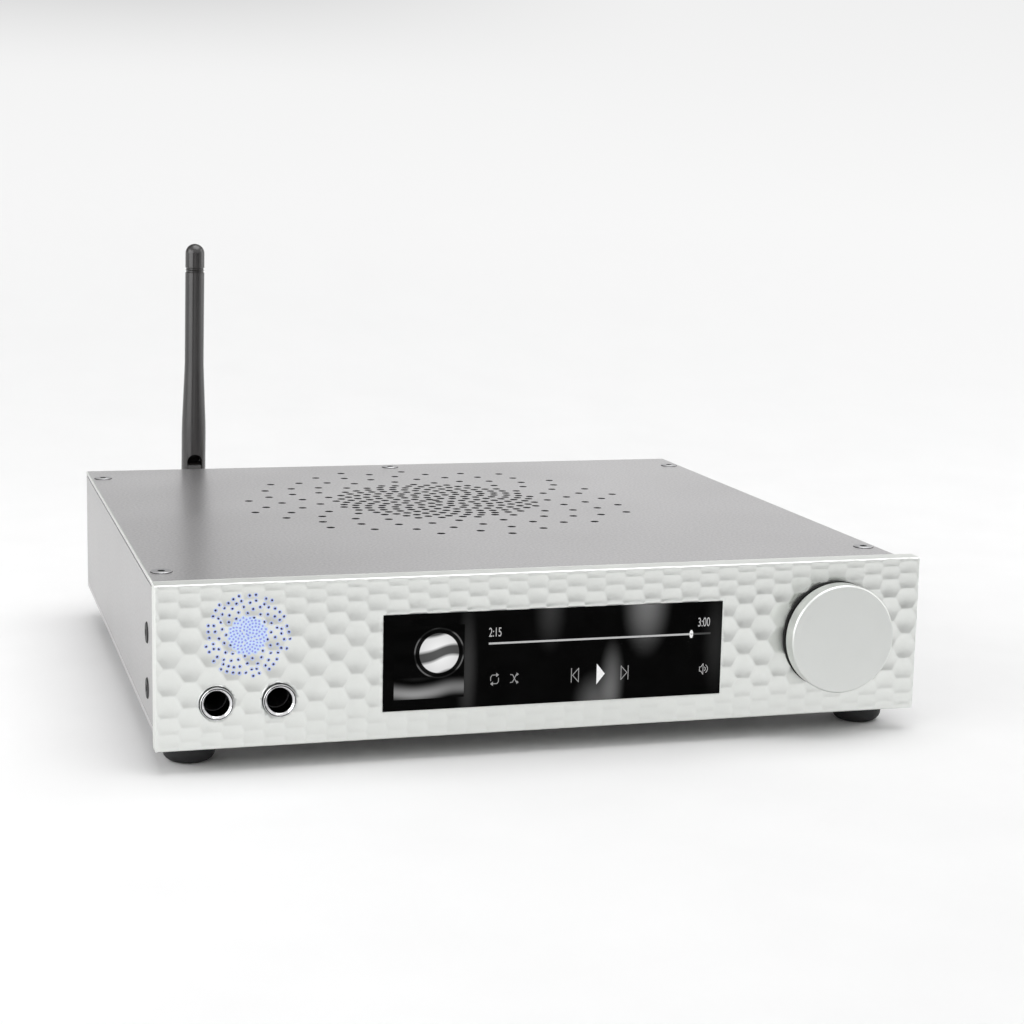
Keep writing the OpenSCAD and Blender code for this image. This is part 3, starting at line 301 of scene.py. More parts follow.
def screen_material():
    """Dark polished window with faint smudges and a few soft painted reflections in its base colour."""
    mat, tree, shader = new_material("display_glass")
    place = own_place(tree)
    smudge_and_sheen = combine(tree, "MULTIPLY", grain_noise(tree, SMUDGE_SIZE, detail=1.0), SMUDGE_TONE)
    for u, v, half_w, half_h, strength in PAINTED_SHEENS:
        x, z = screen_point(u, v)
        middle = (x * MM, glass_lo.y * MM, z * MM)
        size = (half_w * MM, 1, half_h * MM)
        spot = add_node(tree, "Mapping", {"Vector": place, "Location": middle, "Scale": size})
        spot.vector_type = "TEXTURE"
        reach = distance(tree, spot.outputs["Vector"])
        # each sheen adds a soft painted reflection to the base colour
        smudge_and_sheen = combine(tree, "ADD", smudge_and_sheen, remap(tree, reach, (0.0, 1.0), (strength, 0.0), smooth=True))
    rough = remap(tree, grain_noise(tree, GLASS_PATCH), GRAIN, GLASS_ROUGH)
    feed(tree, shader, {"Base Color": smudge_and_sheen, "Roughness": rough, "Specular IOR Level": GLASS_SHEEN})
    return mat


GLOW_GRAIN = 0.6
GLOW_UNEVEN = 0.1
GLOW_BASE = (0.01, 0.01, 0.01, 1)
GLOW_SHEEN = 0.05
GLOW_ROUGH = 0.5


def glow_material(name, colour):
    """Lit surface with a slightly uneven glow."""
    mat, tree, shader = new_material(name)
    low = [c * (1 - GLOW_UNEVEN) for c in colour]
    glow = ramp(tree, grain_noise(tree, GLOW_GRAIN, detail=1.0), list(zip(GRAIN, (low, colour))))
    feed(tree, shader, {"Emission Color": glow, "Emission Strength": 1.0, "Base Color": GLOW_BASE,
                        "Specular IOR Level": GLOW_SHEEN, "Roughness": GLOW_ROUGH})
    return mat


def dress_frame():
    """Give every CAD node the finish of its own slot."""
    for part in frame["record"]["subparts"]:
        node = nodes[part["node"]]
        surface = surfaces[part["material_slot"]]
        if not node.material_slots:
            node.data.materials.append(surface)
        for place in node.material_slots:
            place.material = surface


# Meshes

# Numbers of a piece's materials: its face, the walls of its holes, mostly in a dark lining of painted shade,
# and its bright edges
FACE, WALL, BRIGHT = 0, 1, 2


def link_mesh(name, bm, looks):
    """Put a bmesh into the scene as an object with the given materials."""
    mesh = bpy.data.meshes.new(name)
    bm.to_mesh(mesh)
    bm.free()
    for look in looks:
        mesh.materials.append(look)
    thing = bpy.data.objects.new(name, mesh)
    bpy.context.scene.collection.objects.link(thing)
    return thing


def add_piece(name, bm, slot, body="chassis", replaces=(), look=None, others=()):
    """Turn a bmesh in millimetres into a piece that rides on a body; its look is its slot's unless given."""
    bmesh.ops.scale(bm, vec=(MM, MM, MM), verts=bm.verts)
    piece = link_mesh(name, bm, [look or surfaces[slot], *(surfaces[other] for other in others)])
    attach(piece, body)
    if replaces:
        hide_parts(*replaces)


def ring_of(bm, centre, across, up, radii):
    """Closed chain of vertices round a centre, one for each radius."""
    count = len(radii)
    chain = []
    for i, r in enumerate(radii):
        a = 2 * math.pi * i / count
        chain.append(bm.verts.new(centre + across * (r * math.cos(a)) + up * (r * math.sin(a))))
    return chain


def band(bm, ring, other, smooth=True, material=FACE):
    """Faces between two chains of the same length."""
    made = []
    for i in range(len(ring)):
        face = bm.faces.new([ring[i - 1], ring[i], other[i], other[i - 1]])
        face.smooth = smooth
        face.material_index = material
        made.append(face)
    return made


def fan(bm, ring, centre, material=FACE):
    """Faces from a chain to one point."""
    tip = bm.verts.new(centre)
    made = []
    for i in range(len(ring)):
        face = bm.faces.new([ring[i - 1], ring[i], tip])
        face.smooth = True
        face.material_index = material
        made.append(face)
    return made


def block(bm, front, back):
    """Solid between two equal outlines of places."""
    near = [bm.verts.new(place) for place in front]
    far = [bm.verts.new(place) for place in back]
    bm.faces.new(near)
    bm.faces.new(far[::-1])
    band(bm, near, far, smooth=False)


X, Y, Z = Vector((1, 0, 0)), Vector((0, 1, 0)), Vector((0, 0, 1))
# For each axis: the way along it and the two ways across it
AXES = {"X": (X, Y, Z), "Y": (Y, X, Z), "Z": (Z, X, Y)}


def lathe(bm, profile, centre, axis, count, sharp_deg=25, closed=False):
    """Turn a profile of (radius, distance along the axis) round an axis; its ends close on the axis."""
    along, across, up = AXES[axis]
    faces = []
    before = None
    for r, step in profile:
        middle = Vector(centre) + along * step
        if r == 0:
            if before:
                faces += fan(bm, before, middle)
            else:
                before = middle
            continue
        ring = ring_of(bm, middle, across, up, [r] * count)
        if isinstance(before, Vector):
            faces += fan(bm, ring, before)
        elif before:
            faces += band(bm, before, ring)
        else:
            first = ring
        before = ring
    if closed:
        faces += band(bm, before, first)
    bmesh.ops.recalc_face_normals(bm, faces=faces)
    edges = {e for f in faces for e in f.edges}
    for e in edges:
        if len(e.link_faces) == 2 and e.calc_face_angle(0) > math.radians(sharp_deg):
            e.smooth = False


# Flat outlines with openings

# Points nearer than this are joined in the triangles of a face and of a flat back
FACE_NEAR = 1e-4
BACK_NEAR = 1e-5


def oval(cx, cz, rx, rz, count):
    """Points of a closed oval."""
    turns = [2 * math.pi * k / count for k in range(count)]
    return [(cx + rx * math.cos(a), cz + rz * math.sin(a)) for a in turns]


def arc(cx, cz, r, start, end, steps):
    """Points of an arc between two directions in degrees."""
    turns = [math.radians(start + (end - start) * k / steps) for k in range(steps + 1)]
    return [(cx + r * math.cos(a), cz + r * math.sin(a)) for a in turns]


def divide(outline, segment):
    """Corner points of a closed outline with more points along its sides."""
    points = []
    for i, (x, z) in enumerate(outline):
        px, pz = outline[i - 1]
        pieces = max(1, round(math.hypot(x - px, z - pz) / segment))
        points += [(px + (x - px) * k / pieces, pz + (z - pz) * k / pieces) for k in range(pieces)]
    return points


class Sketch:
    """Points and lines in a plane, without doubles."""

    NEAR = 0.05

    def __init__(self):
        self.points = []
        self.lines = []
        self.index = {}

    def point(self, x, z):
        """Number of the point at a place; a point that is already very near is used again."""
        cell = (math.floor(x / self.NEAR), math.floor(z / self.NEAR))
        for i in (-1, 0, 1):
            for k in (-1, 0, 1):
                found = self.index.get((cell[0] + i, cell[1] + k))
                if found is not None and (self.points[found] - Vector((x, z))).length < self.NEAR:
                    return found
        self.index[cell] = len(self.points)
        self.points.append(Vector((x, z)))
        return self.index[cell]

    def loop(self, outline, segment):
        """Closed outline with its sides divided into pieces of about one segment."""
        ids = [self.point(x, z) for x, z in divide(outline, segment)]
        self.lines += [(a, b) for a, b in zip(ids, ids[1:] + ids[:1]) if a != b]

    def rectangle(self, x0, z0, x1, z1, segment):
        """Rectangle with divided sides."""
        self.loop([(x0, z0), (x1, z0), (x1, z1), (x0, z1)], segment)

    def circle(self, cx, cz, r, count):
        """Circle of straight sides."""
        self.loop(oval(cx, cz, r, r, count), 2 * r)

    def triangles(self, near):
        """Points and triangles that keep to the lines, and which first points each point came from."""
        points, _, faces, sources, _, _ = delaunay_2d_cdt(self.points, self.lines, [], 0, near, True)
        return points, faces, sources


def in_hole(x, z, windows, circles, margin=0.0):
    """Whether a point lies in a window (x0, z0, x1, z1) or a circle (x, z, r), or close to one."""
    for x0, z0, x1, z1 in windows:
        if x0 - margin < x < x1 + margin and z0 - margin < z < z1 + margin:
            return True
    return any((x - cx) ** 2 + (z - cz) ** 2 < (r + margin) ** 2 for cx, cz, r in circles)


def outside(points, faces, windows, circles):
    """Those of the triangles whose middle lies in no hole."""
    for ids in faces:
        mid = sum((points[i] for i in ids), Vector((0, 0))) / len(ids)
        if not in_hole(mid.x, mid.y, windows, circles):
            yield ids


def open_face(sketch, place, windows, circles, smooth=False):
    """Face of a sketch with its holes left open; place puts a point of the sketch into the room."""
    points, faces, _ = sketch.triangles(FACE_NEAR)
    bm = bmesh.new()
    verts = [bm.verts.new(place(p.x, p.y)) for p in points]
    for ids in outside(points, faces, windows, circles):
        bm.faces.new([verts[i] for i in ids]).smooth = smooth
    bmesh.ops.delete(bm, geom=[v for v in bm.verts if not v.link_faces], context="VERTS")
    return bm


def open_chains(bm):
    """Closed chains of the vertices along the open edges of a sheet."""
    onward = {}
    for e in bm.edges:
        if len(e.link_faces) == 1:
            corner = e.link_loops[0]
            onward[corner.vert] = corner.link_loop_next.vert
    chains = []
    while onward:
        start, at = onward.popitem()
        chain = [start]
        while at is not start:
            chain.append(at)
            at = onward.pop(at)
        chains.append(chain)
    return chains


def fill_flat(bm, chains, flat, windows, circles):
    """Close a flat face between chains; flat gives the plane's two coordinates of a place."""
    sketch = Sketch()
    verts = []
    for chain in chains:
        start = len(verts)
        verts += chain
        sketch.points += [Vector(flat(v.co)) for v in chain]
        sketch.lines += [(start + i, start + (i + 1) % len(chain)) for i in range(len(chain))]
    points, faces, sources = sketch.triangles(BACK_NEAR)
    for ids in outside(points, faces, windows, circles):
        bm.faces.new([verts[sources[i][0]] for i in ids])


def close_sheet(bm, rim, flat, back, windows, circles):
    """Make an open face a solid sheet with a flat back.

    rim shapes the outer edge and returns its last chain; back gives the place behind one on the face.
    """
    chains = open_chains(bm)
    outer = max(chains, key=lambda chain: max(flat(v.co)[0] for v in chain))
    behind = []
    for chain in chains:
        if chain is outer:
            chain = rim(chain)
        rear = [bm.verts.new(back(v.co)) for v in chain]
        band(bm, chain, rear, smooth=False, material=WALL)
        behind.append(rear)
    fill_flat(bm, behind, flat, windows, circles)
    bmesh.ops.recalc_face_normals(bm, faces=bm.faces)


# Front panel with machined dimples

COLUMN_PITCH = 5.5
COLUMN_START = -104.5
ROWS = (0.0, 3.85, 7.5, 10.6, 13.8, 15.7, 18.0, 19.3, 21.3, 22.6, 24.4)
BALL_R = 15.0
DIMPLE_DEPTH = 0.52
PANEL_EDGE = 0.22
EDGE_BACK = 0.6
EDGE_FADE = 1.2
EDGE_DEPTH = 0.85
WINDOW_FADE = 0.7
KNOB_FLAT = -1.5
KNOB_FADE = 0.7
CELL_SEGMENT = 1.0
# Rings of points in a cell: share of its size, and every how many of its points
CELL_RINGS = ((0.3, 2), (0.6, 1), (0.88, 1))
CELL_REACH = 3 * COLUMN_PITCH
HOLE_SIDES = 48
HOLE_MARGIN = 0.2
WINDOW_SEAT = 0.1
RING_SEAT = -0.08
KNOB_HOLE_R = 6.6


def dimple_centres():
    """Centres of the dimples as (x, z): columns at an even pitch, rows closer towards the edges."""
    first = math.floor((panel_lo.x - COLUMN_START) / COLUMN_PITCH) - 1
    last = math.ceil((panel_hi.x - COLUMN_START) / COLUMN_PITCH) + 1
    centres = []
    for column in range(first, last + 1):
        x = COLUMN_START + column * COLUMN_PITCH
        for row in range(-len(ROWS) + 1, len(ROWS)):
            if (row + column) % 2:
                centres.append((x, PANEL_MID_Z + math.copysign(ROWS[abs(row)], row)))
    return centres


CENTRES = dimple_centres()


def fade(reach, width):
    """Share that rises from 0 to 1 over a width."""
    return min(1.0, max(0.0, reach / width))


def panel_depth(x, z):
    """Depth of the dimpled face below the panel's front plane."""
    near = min((x - cx) ** 2 + (z - cz) ** 2 for cx, cz in CENTRES if abs(x - cx) < 2 * COLUMN_PITCH)
    to_edge = min(PANEL_HALF_W - abs(x), PANEL_HALF_H - abs(z - PANEL_MID_Z)) - PANEL_EDGE
    to_window = max(abs(x - GLASS.x) - SCREEN_W / 2, abs(z - GLASS.z) - SCREEN_H / 2)
    to_knob = math.hypot(x - KNOB.x, z - KNOB.z) - KNOB_R - KNOB_FLAT
    share = EDGE_DEPTH + (1 - EDGE_DEPTH) * fade(to_edge, EDGE_FADE)
    share *= fade(to_window, WINDOW_FADE) * fade(to_knob, KNOB_FADE)
    return share * max(0.0, DIMPLE_DEPTH - near / (2 * BALL_R))


def clip(polygon, nx, nz, limit):
    """Keep the part of a convex polygon where nx * x + nz * z <= limit."""
    kept = []
    for i, (x, z) in enumerate(polygon):
        px, pz = polygon[i - 1]
        here = nx * x + nz * z - limit
        before = nx * px + nz * pz - limit
        if here * before < 0:
            t = before / (before - here)
            kept.append((px + t * (x - px), pz + t * (z - pz)))
        if here <= 0:
            kept.append((x, z))
    return kept


def dimple_cell(cx, cz, domain):
    """Outline of one dimple: the points of the face that are nearer to it than to any other."""
    x0, z0, x1, z1 = domain
    cell = [(x0, z0), (x1, z0), (x1, z1), (x0, z1)]
    for ox, oz in CENTRES:
        dx, dz = ox - cx, oz - cz
        if 0 < dx * dx + dz * dz < CELL_REACH ** 2:
            cell = clip(cell, dx, dz, (ox * ox + oz * oz - cx * cx - cz * cz) / 2)
            if not cell:
                break
    return cell


def cell_points(cell):
    """Points inside a cell, in rings shrunk towards its middle."""
    mx = sum(x for x, z in cell) / len(cell)
    mz = sum(z for x, z in cell) / len(cell)
    sides = divide(cell, CELL_SEGMENT)
    points = [(mx, mz)]
    for share, step in CELL_RINGS:
        points += [(mx + (x - mx) * share, mz + (z - mz) * share) for x, z in sides[::step]]
    return points


def dimpled_panel():
    """Thick front panel: dimpled face, small bevel all round, openings for window, sockets and knob."""
    inner_x, inner_z = PANEL_HALF_W - PANEL_EDGE, PANEL_HALF_H - PANEL_EDGE
    domain = (-inner_x, PANEL_MID_Z - inner_z, inner_x, PANEL_MID_Z + inner_z)
    seat = WINDOW_SEAT
    windows = [(glass_lo.x - seat, glass_lo.z - seat, glass_hi.x + seat, glass_hi.z + seat)]
    circles = [(x, JACK_Z, RING_R + RING_SEAT) for x in JACK_X] + [(KNOB.x, KNOB.z, KNOB_HOLE_R)]
    sketch = Sketch()
    for area in [domain] + windows:
        sketch.rectangle(*area, CELL_SEGMENT)
    for circle in circles:
        sketch.circle(*circle, HOLE_SIDES)
    for cx, cz in CENTRES:
        cell = dimple_cell(cx, cz, domain)
        if len(cell) < 3:
            continue
        sketch.loop(cell, CELL_SEGMENT)
        for x, z in cell_points(cell):
            if not in_hole(x, z, windows, circles, HOLE_MARGIN):
                sketch.point(x, z)
    bm = open_face(sketch, lambda x, z: (x, FACE_Y + panel_depth(x, z), z), windows, circles, smooth=True)

    def bevel(chain):
        outline = []
        for v in chain:
            x = v.co.x * PANEL_HALF_W / inner_x
            z = PANEL_MID_Z + (v.co.z - PANEL_MID_Z) * PANEL_HALF_H / inner_z
            outline.append(bm.verts.new((x, FACE_Y + EDGE_BACK, z)))
        band(bm, chain, outline, smooth=False)
        return outline

    close_sheet(bm, bevel, lambda co: (co.x, co.z), lambda co: (co.x, BACK_Y, co.z), windows, circles)
    add_piece("dimpled_panel", bm, "panel_silver", replaces=["front_panel"], others=["rim_silver"])


# Small lights

LIGHT_COUNT = 150
LIGHT_CORE = 5.0
LIGHT_STEP = 0.5
LIGHT_EDGE = 9.3
LIGHT_END = 99.0
LIGHT_R = 0.35
LIGHT_SINK = 0.4
LIGHT_PROUD = 0.05
LIGHT_SIDES = 10
# Shoulder of a light guide: share of its radius, share of how far it stands proud
LIGHT_DOME = (0.6, 0.8)
HALO_PROUD = 0.015
HALO_START = 0.9 * LIGHT_R
HALO_SIDES = 14
GOLDEN_TURN = 137.508
SPIRAL_POWER = 0.85
SCATTER_COUNT = 300
SCATTER_FROM = 5.6
SCATTER_TO = 11.2
SCATTER_TURN = 99.5
SCATTER_ROOM = 1.25

# Groups of lights: first and last reach, colour of the guides, radius and colour of the painted glow round
# them
LIGHT_GROUPS = {
    "core": (0.0, LIGHT_CORE, (0.33, 0.38, 0.88), 0.62, (0.62, 0.76, 1.0)),
    "edge": (LIGHT_CORE, LIGHT_END, (0.035, 0.03, 0.09), 0.55, (0.50, 0.60, 0.97)),
}


def spiral_points(count, core, step, edge):
    """Sunflower spiral: an even middle of radius core, then a thinner scatter out to edge."""
    inner = math.floor((core / step) ** 2)
    for n in range(count):
        reach = step * math.sqrt(n)
        if n > inner:
            reach = core + (edge - core) * ((n - inner) / (count - inner)) ** SPIRAL_POWER
        turn = math.radians(n * GOLDEN_TURN)
        yield reach, reach * math.cos(turn), reach * math.sin(turn)


def light_spots(reach_min, reach_max):
    """Places of the light holes in a range; the outer range has a thin scatter of painted dots as well."""
    holes = list(spiral_points(LIGHT_COUNT, LIGHT_CORE, LIGHT_STEP, LIGHT_EDGE))
    taken = [(dx, dz) for _, dx, dz in holes]
    spots = [(dx, dz) for reach, dx, dz in holes if reach_min <= reach < reach_max]
    for n in range(SCATTER_COUNT if reach_max > LIGHT_EDGE else 0):
        reach = SCATTER_FROM + (SCATTER_TO - SCATTER_FROM) * n / SCATTER_COUNT
        turn = math.radians(n * SCATTER_TURN)
        dx, dz = reach * math.cos(turn), reach * math.sin(turn)
        if min(math.hypot(dx - tx, dz - tz) for tx, tz in taken) > SCATTER_ROOM:
            taken.append((dx, dz))
            spots.append((dx, dz))
    return [(LIGHT.x + dx, LIGHT.z + dz) for dx, dz in spots]


def light_dots(name, colour, reach_min, reach_max):
    """Domed light guides where the panel has its small holes, and painted dots like them."""
    bm = bmesh.new()
    for x, z in light_spots(reach_min, reach_max):
        top = FACE_Y + panel_depth(x, z)
        shoulder = (LIGHT_R * LIGHT_DOME[0], top - LIGHT_PROUD * LIGHT_DOME[1])
        profile = [(0, top + LIGHT_SINK), (LIGHT_R, top + LIGHT_SINK), (LIGHT_R, top), shoulder,
                   (0, top - LIGHT_PROUD)]
        lathe(bm, profile, (x, 0, z), "Y", LIGHT_SIDES)
    add_piece(name, bm, "diffuser_white", look=glow_material(name, colour))


def light_halos(name, colour, reach_min, reach_max, r):
    """Painted glow round each light guide: a thin emissive ring that follows the dimples, standing in for
    light that falls on the panel.
    """
    bm = bmesh.new()
    for x, z in light_spots(reach_min, reach_max):
        rings = []
        for radius in (HALO_START, r):
            spots = oval(x, z, radius, radius, HALO_SIDES)
            rings.append([bm.verts.new((px, FACE_Y + panel_depth(px, pz) - HALO_PROUD, pz))
                          for px, pz in spots])
        band(bm, *rings)
    bmesh.ops.recalc_face_normals(bm, faces=bm.faces)
    add_piece(name, bm, "diffuser_white", look=glow_material(name, colour))


def small_lights():
    """Light guides of both groups, then the painted glow round them."""
    for group, (start, end, colour, _, _) in LIGHT_GROUPS.items():
        light_dots("light_dots_" + group, colour, start, end)
    for group, (start, end, _, r, colour) in LIGHT_GROUPS.items():
        light_halos("light_glow_" + group, colour, start, end, r)


# Knob and socket rings

KNOB_CHAMFER = 0.42
KNOB_SOFT = 0.08
KNOB_FLAT_RING = 2
KNOB_BORE_R = 3.05
KNOB_BORE_DEPTH = 4.0
KNOB_STEP = 0.8
KNOB_SIDES = 160
# The ring behind the knob is painted shade: a black ring where the gap is dark
SHADE_RING_PROUD = 0.5
SHADE_RING_SEAT = 0.4
SHADE_RING_SOFT = 0.2
RING_SIDES = 96
RING_TRIM = 0.28
RING_BORE_R = 3.35
RING_SLEEVE_R = 3.95
RING_SUNK = 0.7
RING_CONE = 0.3
RING_LIP = 0.14
# Rim, groove and inner edge of a ring: distance in from its outside, share of its height
RING_RIM = ((0.0, 0.55), (0.08, 0.80), (0.18, 0.88), (0.24, 0.82),
            (0.26, 0.25), (0.44, 0.25), (0.46, 0.94), (0.53, 1.0))
# Span of the groove, in from the outside, whose faces are darkened with painted shade
RING_GROOVE = (0.24, 0.46)


def turned_knob():
    """Satin knob with a narrow bright chamfer, slightly broken edges and a step behind."""
    r, y0, y1 = KNOB_R, knob_lo.y, knob_hi.y
    inner, soft = KNOB_R - KNOB_CHAMFER, KNOB_SOFT
    step_y, bore_y = y1 - KNOB_STEP, y1 - KNOB_BORE_DEPTH
    front = [(0, y0), (inner - KNOB_FLAT_RING, y0), (inner - soft, y0), (inner + soft, y0 + soft),
             (r - soft, y0 + KNOB_CHAMFER - soft), (r, y0 + KNOB_CHAMFER + soft)]
    back = [(r, step_y - soft), (r - soft, step_y), (r - KNOB_STEP, step_y), (r - KNOB_STEP, y1),
            (KNOB_BORE_R, y1), (KNOB_BORE_R, bore_y), (0, bore_y)]
    bm = bmesh.new()
    lathe(bm, front + back, (KNOB.x, 0, KNOB.z), "Y", KNOB_SIDES, sharp_deg=16)
    add_piece("turned_knob", bm, "knob_silver", body="knob", replaces=["volume_knob"])


def knob_shade_ring():
    """Black ring in the gap behind the knob: painted shade that darkens the gap."""
    front, back = FACE_Y - SHADE_RING_PROUD, FACE_Y + DIMPLE_DEPTH
    inner, outer = KNOB_HOLE_R + SHADE_RING_SEAT, KNOB_R
    profile = [(inner, back), (outer, back), (outer, front + SHADE_RING_SOFT), (outer - SHADE_RING_SOFT, front),
               (inner, front)]
    bm = bmesh.new()
    lathe(bm, profile, (KNOB.x, 0, KNOB.z), "Y", RING_SIDES, closed=True)
    add_piece("knob_shade_ring", bm, "socket_black", look=surfaces["painted_shade_black"])


def socket_rings():
    """Two polished rings: a rounded outer rim, a groove darkened with painted shade and a bright cone down to
    the bore.
    """
    r = RING_R - RING_TRIM
    proud = FACE_Y - ring_lo.y
    cone_y = FACE_Y - proud + RING_CONE
    sleeve = [(RING_BORE_R, BACK_Y), (RING_SLEEVE_R, BACK_Y), (RING_SLEEVE_R, FACE_Y + RING_SUNK),
              (r, FACE_Y + RING_SUNK)]
    rim = [(r - inward, FACE_Y - proud * share) for inward, share in RING_RIM]
    cone = [(RING_BORE_R + RING_LIP, cone_y), (RING_BORE_R, cone_y + RING_LIP)]
    bm = bmesh.new()
    for x in JACK_X:
        lathe(bm, sleeve + rim + cone, (x, 0, JACK_Z), "Y", RING_SIDES, sharp_deg=12, closed=True)
    for face in bm.faces:
        spot = face.calc_center_median()
        inward = r - min(math.hypot(spot.x - x, spot.z - JACK_Z) for x in JACK_X)
        if RING_GROOVE[0] < inward < RING_GROOVE[1] and spot.y < FACE_Y:
            face.material_index = WALL
    add_piece("socket_rings", bm, "ring_chrome", replaces=["headphone_rings"], others=["painted_shade_lining"])


# Case sheets and their screws

COVER_ROUND = 0.32
SIDE_ROUND = 0.15
SHADOW_GAP = 0.4
SHADOW_DEPTH = 0.5
SHEET_SEGMENT = 14.0
SIDE_GAP = 0.25
SAME_PLACE = 0.01
SMALL_HOLE_R = 2
SMALL_HOLE_SIDES = 14
SCREW_SIDES = 36
SCREW_HEAD_R = 2.8
SCREW_HOLE_R = 2.95
SCREW_PROUD = 0.3
SCREW_EDGE = 0.15
SCREW_TAPER = 0.12
KEY_R = 1.1
KEY_DEPTH = 1.1
VENT_LEFT = 1.5
VENT_FROM_REAR = 78
VENT_CENTRE = ((cover_lo.x + cover_hi.x) / 2 - VENT_LEFT, cover_hi.y - VENT_FROM_REAR)
VENT_CORE = 33.0
VENT_STEP = 2.3
VENT_EDGE = 63.0
VENT_OUTER = 90
VENT_R = 1.3


def sheet_piece(name, node, slot, area, circles, edge, gap, place, flat):
    """Sheet with a rounded outer edge, a shadow gap under it and plain holes whose walls are darkened with
    painted shade.

    The area is in the sheet's plane; place(u, v, depth) puts a point of it into the room and
    flat() undoes that.
    """
    u0, v0, u1, v1 = area
    sketch = Sketch()
    sketch.rectangle(u0 + edge, v0 + edge, u1 - edge, v1 - edge, SHEET_SEGMENT)
    for cu, cv, r in circles:
        sketch.circle(cu, cv, r, SMALL_HOLE_SIDES if r < SMALL_HOLE_R else SCREW_SIDES)
    bm = open_face(sketch, lambda u, v: place(u, v, 0), [], circles)

    def rim(chain):
        return sheet_edge(bm, chain, area, edge, gap, place, flat)

    close_sheet(bm, rim, flat, lambda co: place(*flat(co), SHEET_T), [], circles)
    add_piece(name, bm, slot, replaces=[node], others=["painted_shade_lining", "rim_silver"])


def end_of(value, low, high):
    """-1 at the low end of a range, 1 at its high end and 0 between them."""
    if abs(value - low) < SAME_PLACE:
        return -1
    return 1 if abs(value - high) < SAME_PLACE else 0


def sheet_edge(bm, chain, area, edge, gap, place, flat):
    """Round over the rim of a sheet, then step in to leave a shadow gap whose inner wall is darkened with
    painted shade.
    """
    u0, v0, u1, v1 = area
    starts = [flat(v.co) for v in chain]
    outward = [(end_of(u, u0 + edge, u1 - edge), end_of(v, v0 + edge, v1 - edge)) for u, v in starts]
    rounded = BRIGHT if gap else FACE
    steps = [(out, depth, True, rounded) for out, depth in arc(0, edge, edge, -60, 0, 2)]
    if gap:
        steps += [(edge, SHEET_T - gap, False, FACE), (edge - SHADOW_DEPTH, SHEET_T - gap, False, WALL)]
    for out, depth, smooth, material in steps:
        ring = [bm.verts.new(place(u + ou * out, v + ov * out, depth))
                for (u, v), (ou, ov) in zip(starts, outward)]
        band(bm, chain, ring, smooth=smooth, material=material)
        chain = ring
    return chain


def vented_cover():
    """Top cover with its field of vent holes."""
    count = math.floor((VENT_CORE / VENT_STEP) ** 2) + VENT_OUTER
    cu, cv = VENT_CENTRE
    spots = spiral_points(count, VENT_CORE, VENT_STEP, VENT_EDGE)
    circles = [(cu + du, cv + dv, VENT_R) for _, du, dv in spots]
    circles += [(mid.x, mid.y, SCREW_HOLE_R) for _, _, mid in solids("cover_screws")]
    area = (cover_lo.x, cover_lo.y, cover_hi.x, cover_hi.y)
    sheet_piece("vented_cover", "top_cover", "cover_grey", area, circles, COVER_ROUND, SHADOW_GAP,
                lambda u, v, depth: (u, v, cover_hi.z - depth), lambda co: (co.x, co.y))


def case_side(name, node, outer_x, inward):
    """Side sheet; inward is the way from its outer face into the case along x."""
    lo, hi, _ = box_mm(node)
    screws = [mid for _, _, mid in solids("side_screws") if (mid.x < 0) == (outer_x < 0)]
    circles = [(mid.y, mid.z, SCREW_HOLE_R) for mid in screws]
    area = (lo.y + SIDE_GAP, lo.z, hi.y, hi.z)
    sheet_piece(name, node, "side_silver", area, circles, SIDE_ROUND, 0,
                lambda u, v, depth: (outer_x + inward * depth, u, v), lambda co: (co.y, co.z))


def hex_screw(bm, top, outward, across):
    """Screw with a six-sided key hole, its head a little above the place given."""
    up = outward.cross(across)
    count = SCREW_SIDES
    turns = [(2 * math.pi * i / count) % (math.pi / 3) - math.pi / 6 for i in range(count)]
    corners = [KEY_R * math.cos(math.pi / 6) / math.cos(turn) for turn in turns]
    key_floor = SCREW_PROUD - KEY_DEPTH
    levels = (
        ([SCREW_HEAD_R - SCREW_TAPER] * count, -SHEET_T),
        ([SCREW_HEAD_R] * count, SCREW_PROUD - SCREW_EDGE),
        ([SCREW_HEAD_R - SCREW_EDGE] * count, SCREW_PROUD),
        (corners, SCREW_PROUD),
        (corners, key_floor),
    )
    rings = [ring_of(bm, top + outward * along, across, up, radii) for radii, along in levels]
    # The shank below the head and the key hole are dark with painted shade
    looks = ((True, WALL), (False, FACE), (False, FACE), (False, WALL))
    faces = []
    for ring, other, (smooth, material) in zip(rings, rings[1:], looks):
        faces += band(bm, ring, other, smooth=smooth, material=material)
    faces += fan(bm, rings[0], top - outward * SHEET_T)
    faces += fan(bm, rings[-1], top + outward * key_floor, material=WALL)
    bmesh.ops.recalc_face_normals(bm, faces=faces)


def screw_heads(name, node, slot, seat):
    """Heads of all the screws in a CAD node; seat gives a head's place, its way out and a way across it."""
    bm = bmesh.new()
    for box in solids(node):
        hex_screw(bm, *seat(*box))
    add_piece(name, bm, slot, replaces=[node], others=["painted_shade_lining"])


def cover_seat(_, hi, mid):
    """Seat of a cover screw."""
    return Vector((mid.x, mid.y, hi.z)), Z, X


def side_seat(lo, hi, mid):
    """Seat of a side screw, on the left or the right."""
    if mid.x < 0:
        return Vector((lo.x, mid.y, mid.z)), -X, Y
    return Vector((hi.x, mid.y, mid.z)), X, Y


# Feet

FOOT_SIDES = 64
FOOT_TIP_R = 7.1
FOOT_EDGE = 3.0
FOOT_WELL_R = 3.4
FOOT_WELL_DEPTH = 6.4
FOOT_BORE_R = 1.6
FOOT_SLIM = 0.2
FOOT_BEVEL = 0.15
FOOT_BEVEL_H = 0.3


